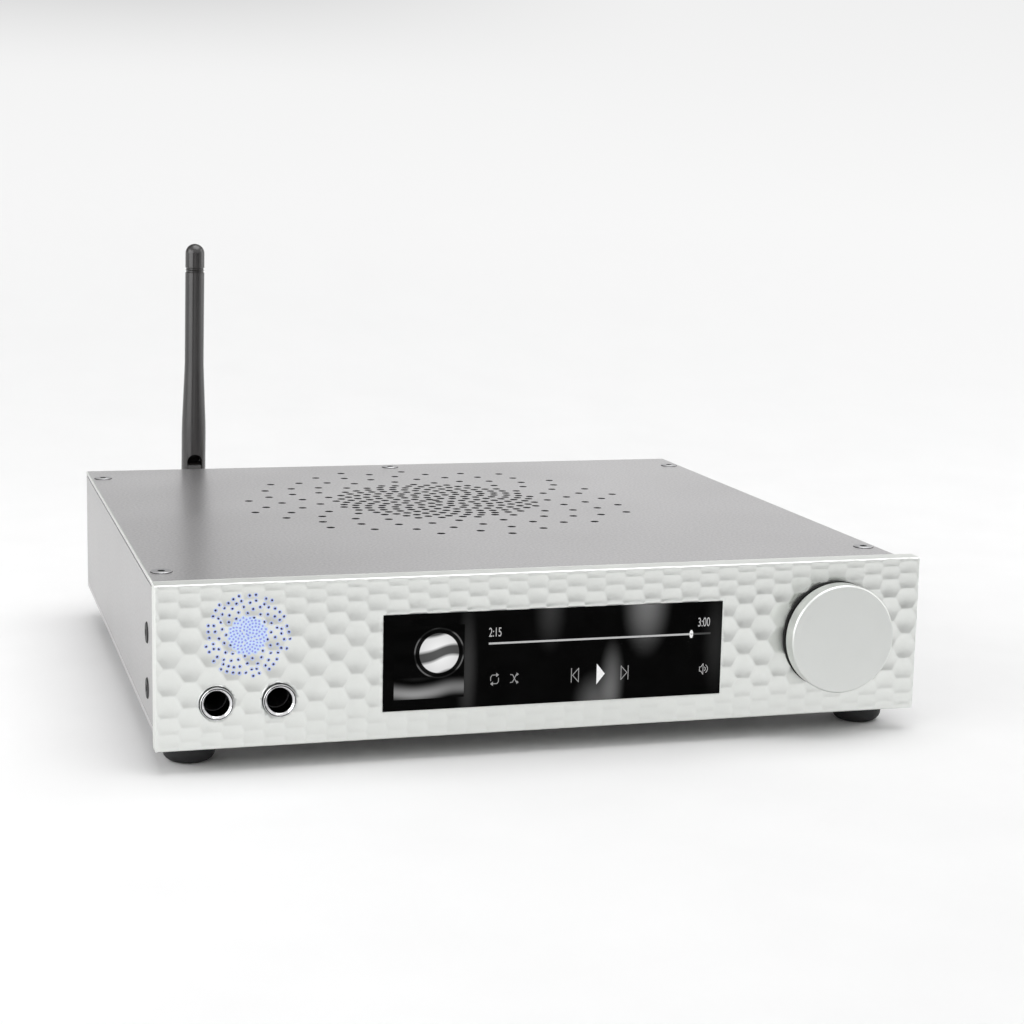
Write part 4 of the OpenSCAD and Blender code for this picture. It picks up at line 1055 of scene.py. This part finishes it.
def foot_pads():
    """Rubber feet with a soft lower edge and a well for the screw."""
    bm = bmesh.new()
    for lo, hi, mid in solids("rubber_feet"):
        top_r = (hi.x - lo.x) / 2 - FOOT_SLIM
        well_z = lo.z + FOOT_WELL_DEPTH
        rim = arc(FOOT_TIP_R - FOOT_EDGE, lo.z + FOOT_EDGE, FOOT_EDGE, -90, 0, 6)
        top = [(top_r, hi.z - FOOT_BEVEL_H), (top_r - FOOT_BEVEL, hi.z), (FOOT_BORE_R, hi.z)]
        profile = [(FOOT_WELL_R, lo.z)] + rim + top + [(FOOT_BORE_R, well_z), (FOOT_WELL_R, well_z)]
        lathe(bm, profile, (mid.x, mid.y, 0), "Z", FOOT_SIDES, sharp_deg=40, closed=True)
    add_piece("foot_pads", bm, "foot_rubber", replaces=["rubber_feet"])


# Antenna

WHIP_SIDES = 64
WHIP_SHARP = math.radians(28)
WHIP_TIP_R = 3.3
WHIP_TAPER = (18.0, 43.0)
WHIP_EASE = 4
WHIP_EASE_BASE = 0.08
WHIP_EASE_TIP = 0.12
WHIP_GROOVE = 8.2
WHIP_GROOVE_W = 0.9
WHIP_GROOVE_D = 0.3
WHIP_GROOVE_FLAT = (0.25, 0.65)
WHIP_LEAN = math.radians(0.7)
WHIP_INSIDE = 0.9 * WHIP_BASE_R
PIN_PLAY = 0.05
PIN_SIDES = 32
FORK_SLOT = 5.2
FORK_DEPTH = 7.9
FORK_SKIN_Y = 3.3
FORK_GATE = 3.5
ARCH_STEPS = 16
TONGUE_W = 4.9
TONGUE_T = 6.2
TONGUE_TOP = 7.6
TONGUE_FOOT = -1.0
KNURL_COUNT = 44
KNURL_DEPTH = 0.28
KNURL_START = 0.3
KNURL_FULL = 0.6
COLLAR_BEVEL = 0.5
COLLAR_BORE_R = 3.4


def boolean_cut(body, cutters):
    """Cut solids away from a solid; all are given as bmeshes, and a bmesh comes back."""
    made = []
    for source in [body] + cutters:
        bmesh.ops.recalc_face_normals(source, faces=source.faces)
        made.append(link_mesh("cut", source, []))
    for cutter in made[1:]:
        step = made[0].modifiers.new("cut", "BOOLEAN")
        step.operation = "DIFFERENCE"
        step.solver = "EXACT"
        step.object = cutter
    bpy.context.view_layer.update()
    result = bmesh.new()
    shape = made[0].evaluated_get(bpy.context.evaluated_depsgraph_get())
    result.from_mesh(shape.to_mesh())
    shape.to_mesh_clear()
    for part in made:
        bpy.data.objects.remove(part)
    return result


def prism(outline, axis, start, end):
    """Solid of an outline in the two other axes, drawn out along one axis."""
    along, across, up = AXES[axis]
    bm = bmesh.new()
    flat = [across * a + up * b for a, b in outline]
    block(bm, [along * start + place for place in flat], [along * end + place for place in flat])
    bmesh.ops.recalc_face_normals(bm, faces=bm.faces)
    return bm


def arch(width, foot, height):
    """Outline of an upright window with a round top; height is where its arc starts."""
    half = width / 2
    return [(-half, foot), (half, foot)] + arc(0, height, half, 0, 180, ARCH_STEPS)


def stand_on_pin(bm):
    """Lean a mesh made round the origin and move it to the folding pin."""
    bmesh.ops.rotate(bm, verts=bm.verts, cent=(0, 0, 0), matrix=Matrix.Rotation(WHIP_LEAN, 3, "Y"))
    bmesh.ops.translate(bm, verts=bm.verts, vec=PIN)


def rod_profile():
    """Profile of the rod from its round foot to its round tip, with a double groove near the tip."""
    tip = whip_hi.z - PIN.z
    groove = tip - WHIP_GROOVE
    low, high = WHIP_TAPER
    profile = [(0, -WHIP_BASE_R)] + arc(0, 0, WHIP_BASE_R, -60, 0, 3)
    profile += [(WHIP_BASE_R, low), (WHIP_BASE_R - WHIP_EASE_BASE, low + WHIP_EASE),
                (WHIP_TIP_R + WHIP_EASE_TIP, high - WHIP_EASE), (WHIP_TIP_R, high)]
    for start in (groove - 2 * WHIP_GROOVE_W, groove - WHIP_GROOVE_W):
        profile.append((WHIP_TIP_R, start))
        profile += [(WHIP_TIP_R - WHIP_GROOVE_D, start + WHIP_GROOVE_W * share) for share in WHIP_GROOVE_FLAT]
    return profile + [(WHIP_TIP_R, groove)] + arc(0, tip - WHIP_TIP_R, WHIP_TIP_R, 0, 80, 8) + [(0, tip)]


def antenna_rod():
    """Folding rod: forked foot, taper, groove and a round tip."""
    body, pin_hole = bmesh.new(), bmesh.new()
    lathe(body, rod_profile(), (0, 0, 0), "Z", WHIP_SIDES)
    reach = 3 * WHIP_BASE_R
    hole_r = PIN_R + PIN_PLAY
    lathe(pin_hole, [(0, -reach), (hole_r, -reach), (hole_r, reach), (0, reach)], (0, 0, 0), "X", PIN_SIDES)
    half = FORK_SLOT / 2
    gate_outline = [(-half, -reach), (half, -reach), (half, FORK_GATE), (-half, FORK_GATE)]
    slot = prism(arch(FORK_SLOT, -reach, FORK_DEPTH), "Y", -reach, FORK_SKIN_Y)
    gate = prism(gate_outline, "Y", -reach, reach)
    bm = boolean_cut(body, [slot, gate, pin_hole])
    for face in bm.faces:
        face.smooth = True
        # The walls of the fork are dark with painted shade
        face.material_index = WALL if in_fork(face.calc_center_median()) else FACE
    for e in bm.edges:
        e.smooth = len(e.link_faces) == 2 and e.calc_face_angle(0) < WHIP_SHARP
    stand_on_pin(bm)
    add_piece("antenna_rod", bm, "antenna_black", body="antenna_rod", replaces=["antenna_whip"],
              others=["painted_shade_lining"])


def in_fork(middle):
    """Whether the middle of a face lies well inside the rod, so that it is a wall of the fork."""
    inside = math.hypot(middle.x, middle.y) < WHIP_INSIDE
    return inside and 0 < middle.z < FORK_DEPTH + FORK_SLOT


def antenna_tongue():
    """Round-topped knuckle of the foot that stands in the rod's fork."""
    outline = arch(TONGUE_T, TONGUE_FOOT, TONGUE_TOP - TONGUE_T / 2)
    bm = prism(outline, "X", -TONGUE_W / 2, TONGUE_W / 2)
    stand_on_pin(bm)
    add_piece("antenna_tongue", bm, "antenna_black", body="antenna_foot")


def knurled_collar():
    """Coupling collar with a knurled grip."""
    _, across, up = AXES["Y"]
    count = 2 * KNURL_COUNT
    valley = COLLAR_R - KNURL_DEPTH
    grip = [COLLAR_R if i % 2 else valley for i in range(count)]
    half = [([COLLAR_BORE_R] * count, 0), ([COLLAR_R - COLLAR_BEVEL] * count, 0),
            ([valley] * count, KNURL_START), (grip, KNURL_FULL)]
    levels = [(radii, collar_lo.y + step) for radii, step in half]
    levels += [(radii, collar_hi.y - step) for radii, step in half[::-1]]
    bm = bmesh.new()
    rings = [ring_of(bm, Vector((COLLAR.x, y, COLLAR.z)), across, up, radii) for radii, y in levels]
    for ring, other in zip(rings, rings[1:] + rings[:1]):
        band(bm, ring, other, smooth=False)
    bmesh.ops.recalc_face_normals(bm, faces=bm.faces)
    add_piece("knurled_collar", bm, "collar_black", replaces=["antenna_collar"])


# Picture on the display

SCREEN_LIFT = 0.05
SCREEN_T = 0.03
SCREEN_Y = glass_lo.y - SCREEN_LIFT
# Brightness of the groups of lit shapes
SCREEN_LEVELS = {"bright": 0.90, "light": 0.52, "grey": 0.34, "dim": 0.06}
# Height of a digit, its share of the size of the letters, and how narrow it is
DIGIT_H = 2.5
DIGIT_SHARE = 0.7
DIGIT_NARROW = 0.6
# Words and where they start, as shares of the window
TIMES = (("2:15", 0.3005, 0.268), ("3:00", 0.925, 0.262))
BAR_V = 0.34
BAR_U = (0.304, 0.9065, 0.963)
BAR_W = 0.52
SLIDER_R = (0.55, 1.15)
SLIDER_SIDES = 24
ICON_V = 0.72
SPEAKER_V = 0.725
THIN = 0.15
LINE = 0.20

# Symbols as lines and filled tips round their middle, in millimetres
PLAY_TIP = ((-1.15, -2.9), (1.2, 0), (-1.15, 2.9))
SKIP_LINES = (((-1.0, -1.9), (0.7, 0), (-1.0, 1.9), (-1.0, -1.9)), ((1.05, -1.9), (1.05, 1.9)))
REPEAT_LINES = (((-1.1, -0.3), (-1.1, 0.6), (-0.7, 1.2), (0.8, 1.2)),
                ((1.1, 0.3), (1.1, -0.6), (0.7, -1.2), (-0.8, -1.2)))
REPEAT_TIPS = (((0.45, 1.8), (1.2, 1.2), (0.45, 0.6)), ((-0.45, -1.8), (-1.2, -1.2), (-0.45, -0.6)))
SHUFFLE_LINES = (((-1.1, 1.1), (-0.5, 1.0), (0.5, -1.0), (0.8, -1.1)),
                 ((-1.1, -1.1), (-0.5, -1.0), (0.5, 1.0), (0.8, 1.1)))
SHUFFLE_TIPS = (((0.6, -0.6), (1.2, -1.1), (0.6, -1.6)), ((0.6, 1.6), (1.2, 1.1), (0.6, 0.6)))
SPEAKER_BOX = ((-1.2, -0.6), (-0.8, -0.6), (-0.15, -1.5), (-0.15, 1.5), (-0.8, 0.6), (-1.2, 0.6),
               (-1.2, -0.6))
SPEAKER_LINES = (SPEAKER_BOX, arc(-0.1, 0, 0.65, -55, 55, 8), arc(-0.1, 0, 1.3, -55, 55, 8))
# Where they stand: group, shares across and down the window, lines, tips, width of the lines, way
SYMBOLS = (
    ("bright", 0.634, ICON_V, (), (PLAY_TIP,), LINE, 1),
    ("light", 0.948, SPEAKER_V, SPEAKER_LINES, (), THIN, 1),
    ("grey", 0.5575, ICON_V, SKIP_LINES, (), LINE, -1),
    ("grey", 0.706, ICON_V, SKIP_LINES, (), LINE, 1),
    ("grey", 0.320, ICON_V, REPEAT_LINES, REPEAT_TIPS, LINE, 1),
    ("grey", 0.378, ICON_V, SHUFFLE_LINES, SHUFFLE_TIPS, LINE, 1),
)


def screen_point(u, v):
    """Place on the window, u from its left edge and v from its top edge, as shares."""
    return glass_lo.x + u * SCREEN_W, glass_hi.z - v * SCREEN_H


def plate(bm, outline):
    """Thin plate of a convex outline just in front of the glass."""
    block(bm, [(x, SCREEN_Y, z) for x, z in outline], [(x, SCREEN_Y + SCREEN_T, z) for x, z in outline])


def stroke(bm, path, width):
    """Line of even width along a path on the window."""
    for (x0, z0), (x1, z1) in zip(path, path[1:]):
        length = math.hypot(x1 - x0, z1 - z0)
        ax, az = (x1 - x0) / length * width / 2, (z1 - z0) / length * width / 2
        plate(bm, [(x0 - ax - az, z0 - az + ax), (x0 - ax + az, z0 - az - ax),
                   (x1 + ax + az, z1 + az - ax), (x1 + ax - az, z1 + az + ax)])


def symbol(bm, u, v, lines, tips, width, way):
    """Symbol round a point of the window; way -1 mirrors it left to right."""
    x, z = screen_point(u, v)
    for line in lines:
        stroke(bm, [(x + way * a, z + b) for a, b in line], width)
    for tip in tips:
        plate(bm, [(x + way * a, z + b) for a, b in tip])


def digits(bm, words, u, v):
    """Numbers in the plain built-in face, as flat outlines."""
    curve = bpy.data.curves.new("digits", "FONT")
    curve.body = words
    curve.size = DIGIT_H / DIGIT_SHARE
    text = bpy.data.objects.new("digits", curve)
    bpy.context.scene.collection.objects.link(text)
    shape = bpy.data.meshes.new_from_object(text)
    bpy.data.objects.remove(text)
    x, z = screen_point(u, v)
    made = [bm.verts.new((x + p.co.x * DIGIT_NARROW, SCREEN_Y, z + p.co.y)) for p in shape.vertices]
    for face in shape.polygons:
        bm.faces.new([made[i] for i in face.vertices])


def screen_symbols():
    """Picture on the display: times, bar, slider and the playing symbols, in groups of one brightness."""
    groups = {name: bmesh.new() for name in SCREEN_LEVELS}
    start, slider, end = (screen_point(u, BAR_V) for u in BAR_U)
    stroke(groups["light"], [start, slider], BAR_W)
    stroke(groups["dim"], [slider, end], BAR_W)
    plate(groups["bright"], oval(*slider, *SLIDER_R, SLIDER_SIDES))
    for time in TIMES:
        digits(groups["light"], *time)
    for group, *values in SYMBOLS:
        symbol(groups[group], *values)
    for group, level in SCREEN_LEVELS.items():
        bm = groups[group]
        bmesh.ops.recalc_face_normals(bm, faces=bm.faces)
        name = "screen_" + group
        add_piece(name, bm, "display_glass", look=glow_material(name, (level, level, level)))


PICTURE_U = (0.030, 0.231)
PICTURE_V = (0.125, 0.885)
PICTURE_ROWS = 12
# Middle of the disc, as shares across and up the picture, and its greys by share of the picture's width
DISC_MIDDLE = (0.64, 0.62)
DISC_GREYS = greys((0.0, 0.95), (0.28, 0.70), (0.285, 0.004), (0.335, 0.004), (0.34, 0.12), (0.355, 0.12),
                   (0.36, 0.001), (1.0, 0.0005))
WAVE_SCALE = 55
WAVE_BEND = 4
WAVE_GREYS = greys((0.2, 0.10), (0.6, 1.0))
HILL_Z = (6, 1)
HILL_GLOW = 0.30
PICTURE_BASE = (0.0008, 0.0008, 0.0008, 1)


def cover_picture():
    """Square picture of a plain abstract design in greys."""
    bm = bmesh.new()
    x0, z1 = screen_point(PICTURE_U[0], PICTURE_V[0])
    x1, z0 = screen_point(PICTURE_U[1], PICTURE_V[1])
    shares = [k / PICTURE_ROWS for k in range(PICTURE_ROWS + 1)]
    across = [x0 + (x1 - x0) * share for share in shares]
    up = [z0 + (z1 - z0) * share for share in shares]
    grid = [[bm.verts.new((x, SCREEN_Y, z)) for x in across] for z in up]
    for low, high in zip(grid, grid[1:]):
        for i in range(PICTURE_ROWS):
            bm.faces.new([low[i], low[i + 1], high[i + 1], high[i]])
    bmesh.ops.recalc_face_normals(bm, faces=bm.faces)
    add_piece("screen_picture", bm, "display_glass", look=picture_material(x0, z0, x1, z1))


def picture_material(x0, z0, x1, z1):
    """Pale disc with a thin ring, over soft waves."""
    mat, tree, shader = new_material("screen_picture")
    place = own_place(tree)
    across, up = DISC_MIDDLE
    middle = ((x0 + (x1 - x0) * across) * MM, SCREEN_Y * MM, (z0 + (z1 - z0) * up) * MM)
    reach = combine(tree, "DIVIDE", distance(tree, place, middle), (x1 - x0) * MM)
    inputs = {"Vector": place, "Scale": WAVE_SCALE, "Distortion": WAVE_BEND, "Detail": 1}
    waves = add_node(tree, "TexWave", inputs)
    waves.bands_direction = "Z"
    wave = waves.outputs["Fac"]
    disc = combine(tree, "MULTIPLY", ramp(tree, reach, DISC_GREYS), ramp(tree, wave, WAVE_GREYS))
    hill_span = [(z0 + z) * MM for z in HILL_Z]
    low = remap(tree, split(tree, place)["Z"], hill_span, (0.0, HILL_GLOW))
    glow = combine(tree, "ADD", disc, combine(tree, "MULTIPLY", wave, low))
    feed(tree, shader, {"Emission Color": glow, "Emission Strength": 1.0, "Base Color": PICTURE_BASE,
                        "Specular IOR Level": GLASS_SHEEN})
    return mat


# Stage, light and camera, in metres

STAGE_HALF = 5.0
STAGE_FRONT = -8.0
WALL_Y = 1.2
WALL_TOP = 3.2
WALL_BEND = 1.0
WALL_STEPS = 12
FLOOR_GRAIN = 40.0
FLOOR_ROUGH = 0.9
FLOOR_GREYS = greys((GRAIN[0], 0.90), (GRAIN[1], 0.92))
# Where the floor turns from lit paper to an even tone, and its tones by height up the wall, darker higher up
# as painted shade
FLOOR_FADE = (0.30, 0.85)
TONE_TOP = 0.8
TONES = greys((0.0, 0.945), (0.15, 0.94), (0.38, 0.87), (0.60, 0.62), (1.0, 0.55))
# Shade of the wall towards the left, mirrored in the cover
SHADE = 0.44
SHADE_Z = (0.20, 0.34)
SHADE_X = (0.42, -0.05)
# Cards: span along x, height, grey
CARDS = {
    "grey_card": ((-0.02, 0.70), 0.28, 0.58),
    "right_card": ((0.70, 1.25), 0.36, 0.08),
    "left_card": ((-0.85, -0.45), 0.36, 0.08),
}
# Metallic, roughness, grain size in mm, change of colour and depth of grain of a card
CARD_FINISH = (0.0, 0.9, 5.0, 0.1, 0.1)
CARD_Y = -1.2
CARD_NEAR_Y = -0.75
CARD_LIFT = 0.004
# Light of the room by height, as it lights and as it is mirrored, and as it is seen past the stage
ROOM_LIGHT = (0.02, 0.62)
ROOM_LIGHT_Z = (0.08, 0.75)
ROOM_MIRROR = (0.66, 0.95)
ROOM_MIRROR_Z = (0.03, 0.45)
ROOM_SEEN = 0.945
# Lamps: place, target, size, power in watts
LAMPS = {
    "key": ((0.22, -0.05, 1.5), (0, 0, 0), (1.4, 1.4), 11.7),
    "left_strip": ((-0.78, -0.36, 0.34), (-0.07, 0.1, 0.09), (0.80, 0.66), 2.7),
    "right_strip": ((0.75, 0.12, 0.34), (-0.07, 0.1, 0.09), (0.50, 0.66), 1.1),
    "left_fill": ((-0.55, 0.10, 0.30), (-0.14, 0.03, 0), (0.35, 0.35), 0.42),
}
CAMERA_PLACE = Vector((-168.9, -627.15, 160.8)) * MM
CAMERA_FORWARD = Vector((0.28078, 0.94471, -0.16938))
CAMERA_UP = Vector((0.02789, 0.16838, 0.98533))
CAMERA_LENS = 73.15
CAMERA_SENSOR = 36.0
CAMERA_CLIP = (0.01, 50)


def stage():
    """Pale floor that sweeps up into a plain wall behind."""
    sweep = arc(WALL_Y - WALL_BEND, WALL_BEND, WALL_BEND, -90, 0, WALL_STEPS)
    profile = [(STAGE_FRONT, 0.0)] + sweep + [(WALL_Y, WALL_TOP)]
    bm = bmesh.new()
    left = [bm.verts.new((-STAGE_HALF, y, z)) for y, z in profile]
    right = [bm.verts.new((STAGE_HALF, y, z)) for y, z in profile]
    for i in range(len(profile) - 1):
        bm.faces.new([left[i], right[i], right[i + 1], left[i + 1]]).smooth = True
    floor = link_mesh("floor", bm, [floor_material()])


def dark_card(name, span, top, grey):
    """Card behind the camera, standing and lying, mirrored in the panel, the rings and the antenna."""
    x0, x1 = span
    bm = bmesh.new()
    for corners in (((CARD_Y, 0.0), (CARD_Y, top)), ((CARD_Y, CARD_LIFT), (CARD_NEAR_Y, CARD_LIFT))):
        (y_a, z_a), (y_b, z_b) = corners
        places = ((x0, y_a, z_a), (x1, y_a, z_a), (x1, y_b, z_b), (x0, y_b, z_b))
        bm.faces.new([bm.verts.new(place) for place in places])
    card = link_mesh(name, bm, [finish(name, (grey, grey, grey), *CARD_FINISH)])
    card.visible_camera = False


def floor_material():
    """White paper, lit by the lamps near the object; further off an even emitted tone, with painted shade
    higher up the wall and towards the left.
    """
    mat, tree, shader = new_material("floor")
    paper = ramp(tree, grain_noise(tree, FLOOR_GRAIN), FLOOR_GREYS)
    feed(tree, shader, {"Base Color": paper, "Roughness": FLOOR_ROUGH, "Specular IOR Level": 0.0})
    place = own_place(tree)
    parts = split(tree, place)
    # painted shade: the emitted tone of the wall darkens with height, and towards the left
    tone = ramp(tree, remap(tree, parts["Z"], (0.0, TONE_TOP), (0.0, 1.0)), TONES)
    high = remap(tree, parts["Z"], SHADE_Z, (0.0, SHADE), smooth=True)
    left = remap(tree, parts["X"], SHADE_X, (0.0, 1.0), smooth=True)
    light = combine(tree, "SUBTRACT", 1.0, combine(tree, "MULTIPLY", high, left))
    glow = add_node(tree, "Emission", {"Color": combine(tree, "MULTIPLY", tone, light)})
    far = remap(tree, distance(tree, place), FLOOR_FADE, (0.0, 1.0), smooth=True)
    share = combine(tree, "MULTIPLY", far, seen_rays(tree))
    mix_shaders(tree, share, shader.outputs["BSDF"], glow.outputs["Emission"], tree.nodes["Material Output"])
    return mat


def seen_rays(tree):
    """1 for rays that show something directly or in a reflection, 0 for rays that light."""
    path = add_node(tree, "LightPath", {}).outputs
    mirrored = combine(tree, "MAXIMUM", path["Is Camera Ray"], path["Is Glossy Ray"])
    return combine(tree, "MAXIMUM", mirrored, path["Is Transmission Ray"])


def world():
    """Soft room: white above, dimmer low down where it is mirrored, plain white where it is seen."""
    room = bpy.data.worlds.new("room")
    bpy.context.scene.world = room
    room.use_nodes = True
    tree = room.node_tree
    tree.nodes.clear()
    height = split(tree, add_node(tree, "TexCoord", {}).outputs["Generated"])["Z"]
    above = remap(tree, height, ROOM_LIGHT_Z, ROOM_LIGHT, smooth=True)
    tone = remap(tree, height, ROOM_MIRROR_Z, ROOM_MIRROR, smooth=True)
    direct = add_node(tree, "LightPath", {}).outputs["Is Camera Ray"]
    plain = combine(tree, "MULTIPLY", direct, ROOM_SEEN)
    lighting = add_node(tree, "Background", {"Color": above})
    seen = add_node(tree, "Background", {"Color": combine(tree, "MAXIMUM", tone, plain)})
    output = add_node(tree, "OutputWorld", {})
    mix_shaders(tree, seen_rays(tree), lighting.outputs["Background"], seen.outputs["Background"], output)


def softbox(name, place, target, size, power):
    """Rectangular lamp that faces a target."""
    lamp = bpy.data.lights.new(name, "AREA")
    lamp.shape = "RECTANGLE"
    lamp.size, lamp.size_y = size
    lamp.energy = power
    holder = bpy.data.objects.new(name, lamp)
    holder.location = place
    holder.rotation_mode = "QUATERNION"
    holder.rotation_quaternion = (Vector(target) - Vector(place)).to_track_quat("-Z", "Y")
    bpy.context.scene.collection.objects.link(holder)


def camera():
    """Camera solved from the photograph's edges."""
    back = -CAMERA_FORWARD.normalized()
    right = CAMERA_UP.cross(back).normalized()
    up = back.cross(right)
    data = bpy.data.cameras.new("camera")
    data.lens = CAMERA_LENS
    data.sensor_width = CAMERA_SENSOR
    data.clip_start, data.clip_end = CAMERA_CLIP
    holder = bpy.data.objects.new("camera", data)
    turn = Matrix((right, up, back)).transposed()
    holder.matrix_world = Matrix.Translation(CAMERA_PLACE) @ turn.to_4x4()
    bpy.context.scene.collection.objects.link(holder)
    bpy.context.scene.camera = holder


surfaces = {slot: finish(slot, *values) for slot, values in FINISHES.items()}
surfaces["display_glass"] = screen_material()
antenna_shader = surfaces["antenna_black"].node_tree.nodes["Principled BSDF"]
antenna_shader.inputs["Specular IOR Level"].default_value = ANTENNA_SHEEN
camera()
dress_frame()
dimpled_panel()
small_lights()
turned_knob()
knob_shade_ring()
socket_rings()
vented_cover()
case_side("left_sheet", "left_side", cover_lo.x, 1)
case_side("right_sheet", "right_side", cover_hi.x, -1)
screw_heads("cover_screw_heads", "cover_screws", "screw_steel", cover_seat)
screw_heads("side_screw_heads", "side_screws", "screw_black", side_seat)
foot_pads()
antenna_rod()
antenna_tongue()
knurled_collar()
screen_symbols()
cover_picture()
stage()
for name, values in CARDS.items():
    dark_card(name, *values)
world()
for name, values in LAMPS.items():
    softbox(name, *values)
bpy.context.scene.view_settings.view_transform = "Standard"
